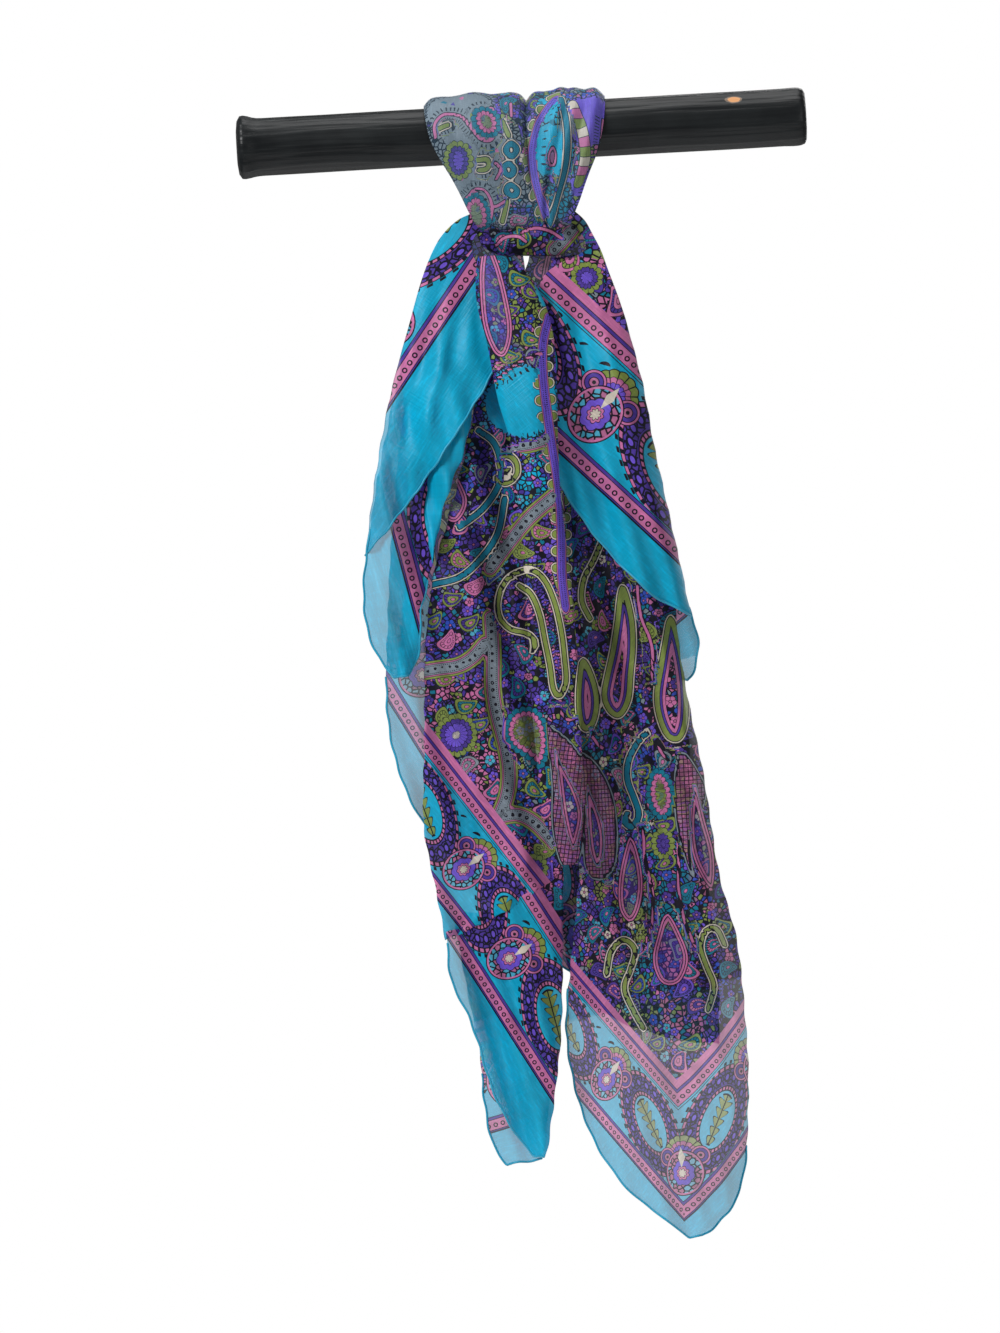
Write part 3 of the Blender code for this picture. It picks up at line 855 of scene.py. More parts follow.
    # the border's bands
    edge_ink, edge_over = inked(tree, depth, 0, 90, [
        (0, "turquoise", 1), (19.3, "navy", 1), (19.8, "purple", 1), (20.2, "navy", 1),
        (20.6, "pink", 1), (25.2, "navy", 1), (25.6, "purple", 1), (26.4, "navy", 1),
        (26.8, "turquoise", 1), (61.4, "navy", 1), (61.8, "turquoise", 1), (62.4, "navy", 1),
        (62.8, "pink", 1), (67.6, "navy", 1), (68.0, "purple", 1), (69.0, "navy", 1),
        (69.4, "pink", 1), (73.0, "pink", 0.0)])
    colour = mix(tree, edge_over, colour, edge_ink)
    stripe = abs(depth - 22.8).min(abs(depth - 65.2))
    bead = length_of(along.wrap(3.6), stripe)
    colour = mix(tree, bead.near(0.85, 0.3), colour, "navy")

    # the border's rings between its rosettes
    inside = depth.near(44.0, 16.8)
    u = along.wrap(REPEAT)
    v = depth - 43.5
    c, s = math.cos(math.radians(-18)), math.sin(math.radians(-18))
    px, py = u * c + v * s, v * c - u * s
    q = length_of(px * (1 / 24.5), py * (1 / 12.2))
    reach = q.madd(14.0, -14.0)
    bearing = angle_of(py * (1 / 12.2), px * (1 / 24.5))
    beads = (bearing * 34.0).sin()
    ring_ink, ring_over = inked(tree, reach, -12, 12, [
        (-12, *NOTHING), (-4.6, "navy", 1), (-4.2, "pink", 1), (-3.2, "navy", 1),
        (-2.8, "purple", 1), (2.4, "navy", 1), (2.8, "pink", 1), (3.8, "navy", 1),
        (4.2, "turquoise", 1), (5.4, "navy", 0.0)])
    ringed = ring_over * inside
    colour = mix(tree, ringed, colour, ring_ink)
    colour = mix(tree, line * ringed * (abs(reach) < 2.4), colour, "navy")
    rows = abs(abs(reach) - 3.5).near(0.0, 0.75)
    colour = mix(tree, rows * (beads > 0.35) * inside, colour, "navy")
    colour = mix(tree, reach.near(4.9, 0.55) * (beads > 0.1) * inside, colour, "navy")
    heart = length_of((bearing * 4.3).wrap(1.5) * 3.0, reach)
    colour = mix(tree, heart.near(1.3, 0.35) * inside, colour, "navy")
    colour = mix(tree, (heart < 0.9) * inside, colour, "bright_purple")
    leaf = abs(py) - abs((px * 0.62 + abs(py) * 0.5).sin()) * (px * -0.09 + 2.6) - 0.3
    colour = mix(tree, (leaf < 0.5) * (reach < -5.4) * inside, colour, "navy")
    colour = mix(tree, (leaf < 0.0) * (reach < -6.0) * inside, colour, "olive")
    colour = mix(tree, (abs(py) < 0.3) * (reach < -6.0) * inside, colour, "navy")
    sprig = length_of(px.wrap(11.0), v - 13.5)
    colour = mix(tree, (sprig < 2.0) * (beads > -0.2) * (reach > 6.4) * inside, colour, "navy")

    # the border's rosettes, each under a fan, and one set across the corner
    cornered = along > SIDE - 71.0
    to_side = along.madd(-1.0, SIDE)
    across_corner = (depth - to_side) * (1 / math.sqrt(2))
    from_corner = (depth + to_side) * (1 / math.sqrt(2)) - 13.0
    t = (along + REPEAT / 2).wrap(REPEAT)
    t = t + (across_corner - t) * cornered
    depth = depth + (from_corner - depth) * cornered
    fan = length_of(t, depth - 50.0)
    fan_turn = abs((angle_of(t, depth - 50.0) * 7.5).sin())
    fan_ink, fan_over = inked(tree, fan - fan_turn * 0.6, 0, 12, [
        (0, "cream", 1), (2.4, "navy", 1), (2.7, "bright_purple", 1), (4.8, "navy", 1),
        (5.1, "pink", 1), (7.0, "navy", 1), (7.3, "olive", 1), (10.0, "navy", 1),
        (10.5, *NOTHING)])
    crest = (depth > 49.0) * fan_over
    colour = mix(tree, crest, colour, fan_ink)
    colour = mix(tree, crest * (fan_turn < 0.22) * (fan > 2.6), colour, "navy")
    lobe = length_of(abs(t) - 9.0, depth - 49.5)
    lobe_ink, lobe_over = inked(tree, lobe, 0, 8, [
        (0, "navy", 1), (0.8, "dusty_pink", 1), (1.8, "navy", 1), (2.2, "purple", 1),
        (3.6, "navy", 1), (4.0, "pink", 1), (4.8, "navy", 1), (5.2, *NOTHING)])
    colour = mix(tree, lobe_over, colour, lobe_ink)
    body = length_of(t, (depth - 40.5) * 0.86)
    body_turn = abs((angle_of(t, depth - 40.5) * 4.0).sin())
    body_ink, _ = inked(tree, body - body_turn * 0.8, 0, 14, [
        (0, "cream", 1), (1.2, "navy", 1), (1.5, "pink", 1), (2.4, "navy", 1),
        (2.7, "bright_purple", 1), (5.0, "navy", 1)])
    pearls = mix(tree, line, mix(tree, luck > 0.55, "dusty_pink", "sky"), "navy")
    colour = mix(tree, body < 10.6, colour, "navy")
    colour = mix(tree, body < 10.1, colour, "pink")
    colour = mix(tree, body < 9.3, colour, pearls)
    colour = mix(tree, (body - body_turn * 0.8) < 5.4, colour, body_ink)
    spear = (abs(t) * 3.0 + abs(depth - 49.0)) < 5.6
    colour = mix(tree, spear, colour, "cream")
    return colour, flat


def woven(tree, flat, amount):
    """Fine threads with the odd thicker one, as a bump."""
    stretched = []
    for scale in ((1600.0, 60.0, 1.0), (60.0, 1600.0, 1.0)):
        place = add_node(tree, "ShaderNodeMapping", Vector=flat, Scale=scale)
        stretched.append(add_node(tree, "ShaderNodeTexNoise", noise_dimensions="2D",
                                  Vector=place.outputs[0], Scale=1.0, Detail=1.0).outputs[0])
    both = Ink(tree, stretched[0]) + Ink(tree, stretched[1])
    bump = add_node(tree, "ShaderNodeBump", Height=both, Strength=amount, Distance=0.0004)
    return both, bump.outputs[0]


def printed_silk():
    """Sheer silk with the print on its right side."""
    material = bpy.data.materials.new("printed_silk")
    material.use_nodes = True
    tree = material.node_tree
    tree.nodes.clear()
    props = bpy.context.scene.silk_scarf_cloth
    colour, flat = print_colour(tree)
    threads, bump = woven(tree, flat, props.weave)
    wash = add_node(tree, "ShaderNodeTexNoise", noise_dimensions="2D", Vector=flat, Scale=38.0,
                    Detail=3.0)
    # painted sheen: long noise streaks slanted at 45 degrees that only lighten the colour, a
    # highlight of the silk's sheen painted into it
    painted_sheen_place = add_node(tree, "ShaderNodeMapping", Vector=flat, Scale=(900.0, 180.0, 1.0),
                           Rotation=(0.0, 0.0, math.radians(45)))
    painted_sheen = add_node(tree, "ShaderNodeTexNoise", noise_dimensions="2D", Detail=2.0, Scale=1.0,
                     Vector=painted_sheen_place.outputs[0])
    bright = (Ink(tree, painted_sheen.outputs[0]) - 0.5).max(0.0) * 0.9
    # the tone: a random wash, the weave's threads and the painted sheen streaks
    tone = (Ink(tree, wash.outputs[0]) - 0.5) * 0.5 + threads * 0.16 + bright + 0.84
    toned = add_node(tree, "ShaderNodeVectorMath", operation="SCALE", Scale=tone)
    tree.links.new(colour, toned.inputs[0])
    plies = Ink(tree, add_node(tree, "ShaderNodeAttribute", attribute_name="plies").outputs["Fac"])
    single = 1.0 - props.cover
    cover = (Ink(tree, add_node(tree, "ShaderNodeValue").outputs[0]))
    cover.socket.default_value = single
    dark = add_node(tree, "ShaderNodeSeparateXYZ", Vector=toned.outputs[0])
    green = Ink(tree, dark.outputs[1])
    inky = (green * -2.6 + 0.95).math("ADD", 0.0, clamp=True)
    cover = (cover - inky * 0.13).power(plies).madd(-1.0, 1.0)
    cloth = add_node(tree, "ShaderNodeBsdfPrincipled", Normal=bump)
    tree.links.new(toned.outputs[0], cloth.inputs["Base Color"])
    cloth.inputs["Roughness"].default_value = 0.46
    cloth.inputs["Specular IOR Level"].default_value = 0.28
    cloth.inputs["Sheen Weight"].default_value = 0.10
    cloth.inputs["Sheen Roughness"].default_value = 0.35
    cloth.inputs["Sheen Tint"].default_value = (0.75, 0.88, 1.0, 1.0)
    glow = add_node(tree, "ShaderNodeBsdfTranslucent")
    tree.links.new(toned.outputs[0], glow.inputs["Color"])
    body = add_node(tree, "ShaderNodeMixShader")
    body.inputs[0].default_value = 0.28
    tree.links.new(cloth.outputs[0], body.inputs[1])
    tree.links.new(glow.outputs[0], body.inputs[2])
    clear = add_node(tree, "ShaderNodeBsdfTransparent")
    whole = add_node(tree, "ShaderNodeMixShader")
    tree.links.new(cover.socket, whole.inputs[0])
    tree.links.new(clear.outputs[0], whole.inputs[1])
    tree.links.new(body.outputs[0], whole.inputs[2])
    out = add_node(tree, "ShaderNodeOutputMaterial")
    tree.links.new(whole.outputs[0], out.inputs[0])
    return material


def reverse_silk():
    """The reverse of the silk: a thin haze of undyed threads over the print."""
    material = bpy.data.materials.new("silk_reverse")
    material.use_nodes = True
    tree = material.node_tree
    tree.nodes.clear()
    flat = add_node(tree, "ShaderNodeUVMap", uv_map="flat").outputs[0]
    threads, bump = woven(tree, flat, 0.4)
    cloth = add_node(tree, "ShaderNodeBsdfPrincipled", Normal=bump)
    tint = mix(tree, threads * 0.5, (0.10, 0.30, 0.42, 1), (0.22, 0.36, 0.52, 1))
    tree.links.new(tint, cloth.inputs["Base Color"])
    cloth.inputs["Roughness"].default_value = 0.5
    clear = add_node(tree, "ShaderNodeBsdfTransparent")
    whole = add_node(tree, "ShaderNodeMixShader")
    tree.links.new((threads * 0.06 + 0.05).socket, whole.inputs[0])
    tree.links.new(clear.outputs[0], whole.inputs[1])
    tree.links.new(cloth.outputs[0], whole.inputs[2])
    out = add_node(tree, "ShaderNodeOutputMaterial")
    tree.links.new(whole.outputs[0], out.inputs[0])
    return material


def material(name):
    """A material by name, made the first time it is asked for."""
    ready = bpy.data.materials.get(name)
    if ready:
        return ready
    makers = {
        "printed_silk": printed_silk,
        "silk_reverse": reverse_silk,
        "hem_silk": hem_silk,
        "hem_thread": hem_thread,
        "black_film": black_film,
        "pale_floor": pale_floor,
    }
    return makers[name]()


def hem_silk():
    """The dyed hem rolled tight, so nearly opaque."""
    made = bpy.data.materials.new("hem_silk")
    made.use_nodes = True
    tree = made.node_tree
    cloth = tree.nodes["Principled BSDF"]
    place = add_node(tree, "ShaderNodeTexCoord").outputs["Object"]
    grain = add_node(tree, "ShaderNodeTexNoise", Vector=place, Scale=900.0, Detail=2.0)
    wash = add_node(tree, "ShaderNodeTexNoise", Vector=place, Scale=60.0, Detail=2.0)
    both = Ink(tree, grain.outputs[0]) * 0.5 + Ink(tree, wash.outputs[0]) * 0.7 - 0.1
    tint = mix(tree, both, "teal", "turquoise")
    tree.links.new(tint, cloth.inputs["Base Color"])
    bump = add_node(tree, "ShaderNodeBump", Height=Ink(tree, grain.outputs[0]), Strength=0.4,
                    Distance=0.0003)
    tree.links.new(bump.outputs[0], cloth.inputs["Normal"])
    cloth.inputs["Roughness"].default_value = 0.5
    cloth.inputs["Sheen Weight"].default_value = 0.2
    return made


def hem_thread():
    """Fine blue sewing thread."""
    made = bpy.data.materials.new("hem_thread")
    made.use_nodes = True
    tree = made.node_tree
    cloth = tree.nodes["Principled BSDF"]
    place = add_node(tree, "ShaderNodeTexCoord").outputs["Object"]
    grain = add_node(tree, "ShaderNodeTexNoise", Vector=place, Scale=1500.0)
    tint = mix(tree, Ink(tree, grain.outputs[0]), (0.0, 0.22, 0.36, 1), (0.05, 0.42, 0.55, 1))
    tree.links.new(tint, cloth.inputs["Base Color"])
    cloth.inputs["Roughness"].default_value = 0.55
    return made


def black_film():
    """Black film stretched round the rod, creased along it, with one small chip."""
    made = bpy.data.materials.new("black_film")
    made.use_nodes = True
    tree = made.node_tree
    film = tree.nodes["Principled BSDF"]
    place = add_node(tree, "ShaderNodeTexCoord").outputs["Object"]
    stretched = add_node(tree, "ShaderNodeMapping", Vector=place, Scale=(9.0, 260.0, 260.0))
    creases = add_node(tree, "ShaderNodeTexNoise", Vector=stretched.outputs[0], Scale=1.0,
                       Detail=4.0, Roughness=0.6)
    patches = add_node(tree, "ShaderNodeTexNoise", Vector=place, Scale=55.0, Detail=3.0)
    streak, patch = Ink(tree, creases.outputs[0]), Ink(tree, patches.outputs[0])
    tint = mix(tree, (streak * patch * 2.2 - 0.25).math("ADD", 0.0, clamp=True),
               (0.002, 0.003, 0.004, 1), (0.012, 0.015, 0.016, 1))
    spot = add_node(tree, "ShaderNodeSeparateXYZ", Vector=place)
    x, y, z = (Ink(tree, spot.outputs[i]) for i in range(3))
    rag = (patch - 0.5) * 0.004
    wide = abs(x - 0.1145) * 0.42
    chip = length_of(wide, z - 0.0105) + rag + abs(streak - 0.5) * 0.0015
    on_front = y < 0.0
    chipped = (chip < 0.0014) * on_front
    tint = mix(tree, (chip < 0.0019) * on_front, tint, (0.16, 0.12, 0.09, 1))
    tint = mix(tree, chipped, tint, (0.62, 0.30, 0.13, 1))
    tree.links.new(tint, film.inputs["Base Color"])
    rough = streak * 0.25 + chipped * 0.3 + 0.24
    tree.links.new(rough.socket, film.inputs["Roughness"])
    bump = add_node(tree, "ShaderNodeBump", Height=streak + patch * 0.4, Strength=0.55,
                    Distance=0.0008)
    tree.links.new(bump.outputs[0], film.inputs["Normal"])
    film.inputs["Specular IOR Level"].default_value = 0.3
    return made


def pale_floor():
    """Smooth pale studio floor."""
    made = bpy.data.materials.new("pale_floor")
    made.use_nodes = True
    tree = made.node_tree
    floor = tree.nodes["Principled BSDF"]
    place = add_node(tree, "ShaderNodeTexCoord").outputs["Object"]
    grain = add_node(tree, "ShaderNodeTexNoise", Vector=place, Scale=3.0)
    tint = mix(tree, Ink(tree, grain.outputs[0]), (0.86, 0.86, 0.87, 1), (0.90, 0.90, 0.90, 1))
    tree.links.new(tint, floor.inputs["Base Color"])
    floor.inputs["Roughness"].default_value = 0.8
    return made


# ---------------------------------------------------------------- making meshes

# How each hanging sheet is held, and what it rests on
SHEETS = {
    "flap_left": ("hung", ["knot_band"]),
    "corner_left": ("hung", ["knot_band"]),
    "fold_left": ("folded", ["corner_left"]),
    "flap_right": ("hung", ["knot_band"]),
    "corner_right": ("hung", ["knot_band"]),
    "panel_centre": ("hung", ["knot_band"]),
    "tail_right": ("hung", ["knot_band"]),
    "tail_left": ("hung", ["panel_centre"]),
    "tail_left_back": ("hung", ["back_left"]),
    "back_left": ("hung", ["knot_band"]),
    "back_right": ("hung", ["knot_band"]),
}
BACK_FACING = ("back_left", "back_right", "corner_right")

# Depth in mm that each side edge turns back where the cloth is folded there
FOLDED = {
    "flap_left": (5.0, 0.0),
    "corner_left": (0.0, 3.0),
    "fold_left": (1.5, 1.5),
    "flap_right": (0.0, 5.0),
    "corner_right": (0.0, 3.0),
    "panel_centre": (1.2, 0.0),
    "tail_right": (0.0, 4.5),
    "tail_left": (0.0, 3.5),
    "tail_left_back": (2.0, 0.0),
    "back_left": (0.0, 0.0),
    "back_right": (0.0, -3.0),
}

CREASE_GAIN = 2.0

# Soft ridges (or troughs, below nought): x, z, x, z, width, height, in mm
CREASES = {
    "flap_left": [(-42, -96, -70, -190, 3.6, 1.1), (-34, -52, -66, -170, 5, 1.6),
                  (-26, -60, -40, -140, 4, 1.3),
                  (-44, -70, -80, -185, 4, -1.1), (-24, -78, -24, -112, 4, 1.2)],
    "corner_left": [(-50, -80, -88, -250, 5, 1.4), (-42, -110, -78, -270, 4, -1.1)],
    "flap_right": [(30, -62, 60, -200, 5, 1.5), (20, -76, 34, -178, 5, -1.6),
                   (33, -70, 70, -240, 4, -1.0), (14, -84, 18, -160, 5, 1.4)],
    "corner_right": [(30, -120, 70, -280, 4, 1.0)],
    "panel_centre": [(-36, -190, -40, -350, 3.6, 1.3), (-18, -250, -14, -370, 3.6, 1.2),
                     (-26, -120, -58, -300, 6, 1.4), (-12, -130, -34, -330, 5, -1.3),
                     (-58, -428, -20, -380, 5, 2.0), (-64, -430, -30, -396, 3, -1.4),
                     (-40, -424, -8, -372, 4, 1.6), (-4, -398, 2, -340, 5, 1.2)],
    "tail_right": [(17, -248, 24, -430, 3.4, 1.5), (36, -236, 48, -400, 3.6, 1.4),
                   (58, -290, 76, -440, 3.6, 1.4), (28, -262, 34, -380, 4, -0.8),
                   (26, -120, 60, -420, 6, 1.6), (14, -200, 34, -470, 5, -1.6),
                   (44, -170, 84, -440, 4, 1.2), (2, -436, 30, -560, 6, 1.4),
                   (20, -320, 62, -560, 7, 1.3), (-2, -470, 40, -590, 5, -1.0),
                   (92, -500, 62, -594, 6, 1.0)],
    "tail_left": [(-62, -436, -30, -540, 6, 1.6), (-40, -428, -20, -500, 5, -1.4),
                  (-20, -412, -14, -520, 5, 1.2)],
    "tail_left_back": [(-48, -470, -34, -548, 5, 1.0)],
    "back_left": [(-30, -90, -72, -330, 6, 1.6), (-14, -110, -34, -380, 6, -1.4)],
    "back_right": [(16, -90, 30, -440, 6, 1.6), (34, -100, 66, -470, 6, -1.4),
                   (4, -110, 6, -440, 6, 1.0)],
}

# Where the cloth lies double: right of the line (x, z) to (x, z), so many plies
PLIES = {
    "flap_left": [(-71, -120, -70, -226, 2.6)],
    "corner_left": [(-74, -226, -84, -296, 2.2)],
    "fold_left": [(-200, -100, -200, -200, 1.8)],
    "flap_right": [(-200, -100, -200, -200, 2.2)],
    "panel_centre": [(-200, -100, -200, -200, 1.9)],
    "corner_right": [(58, -288, 82, -284, 1.6)],
    "tail_right": [(-200, -100, -200, -200, 1.0), (0, -476, 10, -474, 1.5)],
    "tail_left": [(-60, -484, -30, -484, 0.0), (-56, -436, -42, -498, 2.4)],
    "back_right": [(-200, -100, -200, -200, 1.7)],
    "back_left": [(-66, -100, -70, -400, 1.5)],
}

# The open hem of each sheet, by grid edge: side and the z range it runs over
HEMS = {
    "flap_left": [("bottom", -400, 0)],
    "corner_left": [("left", -400, -206), ("bottom", -400, 0), ("right", -400, -236)],
    "flap_right": [("bottom", -400, 0)],
    "corner_right": [("bottom", -400, 0), ("right", -400, -258)],
    "tail_right": [("left", -700, -458), ("bottom", -700, 0), ("right", -700, -548)],
    "tail_left": [("left", -700, -430), ("bottom", -700, 0)],
    "tail_left_back": [("left", -700, -500), ("bottom", -700, 0)],
    "back_left": [("left", -700, -286), ("bottom", -700, 0)],
    "back_right": [("bottom", -700, 0)],
}


def smooth_array(value):
    value = np.clip(value, 0, 1)
    return value * value * (3 - 2 * value)


def nest_depth(name, x, z):
    """How far back the sheet lies at x, z, in mm, with pleats and bow."""
    key = name if name in DEPTH else {
        "flap_left": "flap", "flap_right": "flap", "panel_centre": "panel", "tail_right": "tail",
        "tail_left": "tail", "tail_left_back": "tail_back",
    }[name]
    gathered = GATHERED + (1 - GATHERED) * smooth_array(
        (GATHER_TOP - z) / (GATHER_TOP - GATHER_END))
    lens_share = 1 - (1 - LENS_EDGE) * np.minimum((x / LENS_HALF_WIDTH) ** 2, 1)
    ramp = smooth_array((GATHER_TOP - 12 - z) / 130)
    wide = np.sin(2 * np.pi * (x + PLEAT_SLANT * z) / PLEAT_WIDTH + PLEAT_PHASE)
    fine = np.sin(2 * np.pi * (x + FINE_SLANT * z) / FINE_WIDTH + FINE_PHASE)
    y = DEPTH[key] * gathered * lens_share + ramp * (PLEAT_DEPTH * wide + FINE_DEPTH * fine)
    if name == "tail_right":
        y = y + BOW_DEPTH * smooth_array((BOW_TOP - z) / 120) * (
            (x - BOW_MIDDLE) / BOW_MIDDLE) ** 2
    return y


def crinkled(x, z, seed, size):
    """Soft irregular crinkles in mm, the same each time."""
    flat = np.stack([x.ravel(), z.ravel()], 1)
    out = [noise.noise(Vector((a / 13, b / 30, seed))) * 0.6
           + noise.noise(Vector((a / 5, b / 10, seed + 7))) * 0.22 for a, b in flat]
    return size * np.array(out).reshape(x.shape)


def flat_place(name, x, z):
    """Flat coordinates in mm from the square's middle of the cloth at x, z."""
    if name == "tail_right":
        over = x - CORNER[0]
        side = np.where(over < 0, 1.3 * over, 0.75 * over + 0.0075 * over**2)
        up = z - CORNER[1]
        return SIDE - (up - side) / math.sqrt(2), SIDE - (up + side) / math.sqrt(2)
    x0, z0, depth, along, turn, hand, scale = LAY[name]
    c, s = math.cos(math.radians(turn)), math.sin(math.radians(turn))
    inward = depth + scale * (c * (x - x0) + s * (z - z0))
    beside = along + scale * hand * (-s * (x - x0) + c * (z - z0))
    return SIDE - inward, beside


def cloth_mesh(name, place, flat, chart_place, chart, grounds, fallback, plies, flip=False):
    """A grid of cloth with its flat coordinates and its share of the print's chart."""
    rows, columns = place.shape[:2]
    verts = place.reshape(-1, 3) * MM
    faces = []
    for j in range(rows - 1):
        for i in range(columns - 1):
            a = j * columns + i
            quad = (a, a + columns, a + columns + 1, a + 1)
            faces.append(quad[::-1] if flip else quad)
    mesh = bpy.data.meshes.new(name)
    mesh.from_pydata(verts.tolist(), [], faces)
    loops = np.zeros(len(mesh.loops), dtype=np.int32)
    mesh.loops.foreach_get("vertex_index", loops)
    layer = mesh.uv_layers.new(name="flat")
    layer.data.foreach_set("uv", (flat.reshape(-1, 2)[loops] * MM).astype(np.float32).ravel())
    spots = chart_place.reshape(-1, 2)
    far, run, kind = chart_at(chart, spots)
    motif = mesh.attributes.new("motif", "FLOAT_VECTOR", "POINT")
    motif.data.foreach_set("vector", np.stack([far, run, kind], 1).astype(np.float32).ravel())
    ground = mesh.attributes.new("ground", "FLOAT_COLOR", "POINT")
    ground.data.foreach_set("color", grounds_at(grounds, spots, fallback).astype(
        np.float32).ravel())
    layers = mesh.attributes.new("plies", "FLOAT", "POINT")
    layers.data.foreach_set("value", plies.ravel().astype(np.float32))
    for polygon in mesh.polygons:
        polygon.use_smooth = True
    piece = bpy.data.objects.new(name, mesh)
    bpy.context.scene.collection.objects.link(piece)
    for finish in ("printed_silk", "silk_reverse"):
        mesh.materials.append(material(finish))
    wall = piece.modifiers.new("cloth thickness", "SOLIDIFY")
    wall.thickness = bpy.context.scene.silk_scarf_cloth.wall
    wall.offset = -1.0
    wall.material_offset = 1
    return piece


def sheet_grid(name):
    """Places, print places and plies of one hanging sheet."""
    step = bpy.context.scene.silk_scarf_cloth.grid * 1000
    rows = np.array(ROWS[name], float)
    height = np.abs(np.diff(rows[:, [1, 3]].mean(1))).sum()
    width = (rows[:, 2] - rows[:, 0]).max()
    down, across = int(height / step) + 2, int(width / step) + 2
    edge = np.array(through(ROWS[name], down))
    even = np.linspace(0, 1, across)
    s = 0.6 * even + 0.4 * (0.5 - 0.5 * np.cos(np.pi * even))
    left_x, left_z, right_x, right_z, sag = (edge[:, [i]] for i in range(5))
    x = left_x + (right_x - left_x) * s
    z = left_z + (right_z - left_z) * s - 4 * sag * s * (1 - s)
    loose = smooth_array((GATHER_TOP - 30 - z) / 60)
    x = x + 0.35 * loose * np.sin(0.36 * z + 1.0)
    z = z + 0.5 * loose * np.sin(0.42 * x + 0.2 * z)
    y = nest_depth(name, x, z)
    freedom = smooth_array((GATHER_TOP - 6 - z) / 60)
    for x0, z0, x1, z1, wide, high in CREASES.get(name, ()):
        run = np.array([x1 - x0, z1 - z0], float)
        t = np.clip(((x - x0) * run[0] + (z - z0) * run[1]) / (run @ run), 0, 1)
        gap = np.hypot(x - x0 - t * run[0], z - z0 - t * run[1])
        fade = np.sin(np.pi * (0.12 + 0.76 * t))
        ridge = np.exp(-((gap / (wide * (0.6 + 0.8 * t))) ** 2))
        y = y - CREASE_GAIN * high * fade * ridge * freedom
    y = y + crinkled(x, z, 3.0 + len(name), 1.0) * freedom
    left, right = FOLDED[name]
    reach = np.minimum(np.abs(right_x - left_x) * 0.4, 7.0)
    for size, gap in ((left, x - left_x), (right, right_x - x)):
        y = y + size * np.clip(1 - gap / reach, 0, 1) ** 2 * freedom
    plies = np.ones_like(x)
    for x0, z0, x1, z1, much in PLIES.get(name, ()):
        side = (x - x0) * (z1 - z0) - (z - z0) * (x1 - x0)
        plies = np.where(side < 0, much, plies) if much else plies
    return np.stack([x, y, z], 2), np.stack(flat_place(name, x, z), 2), plies


# Least side of a sheet's size, in metres, and least share of width times length that the cloth
# fills
LEAST_CUT, LEAST_SHARE = 0.0125, 0.45


def flat_size(place):
    """Width, length and area of a sheet, in metres.

    The width and area are measured on the made mesh, so they hold no more than what shows.
    The length is measured too, then moved where the cloth would fill less than LEAST_SHARE of
    the rectangle. A moved length isn't a measurement.
    """
    widths = np.linalg.norm(np.diff(place, axis=1), axis=2).sum(1)
    lengths = np.linalg.norm(np.diff(place, axis=0), axis=2).sum(0)
    a, b = place[1:, :-1] - place[:-1, :-1], place[:-1, 1:] - place[:-1, :-1]
    c, d = place[:-1, 1:] - place[1:, 1:], place[1:, :-1] - place[1:, 1:]
    area = (np.linalg.norm(np.cross(a, b), axis=2) + np.linalg.norm(np.cross(c, d), axis=2)).sum()
    area = float(area) / 2 * MM * MM
    width, length = (max(float(side.max()) * MM, LEAST_CUT) for side in (widths, lengths))
    length = min(max(length, 1.05 * area / width), area / (LEAST_SHARE * width))
    return round(width, 3), round(length, 3), round(area, 5)


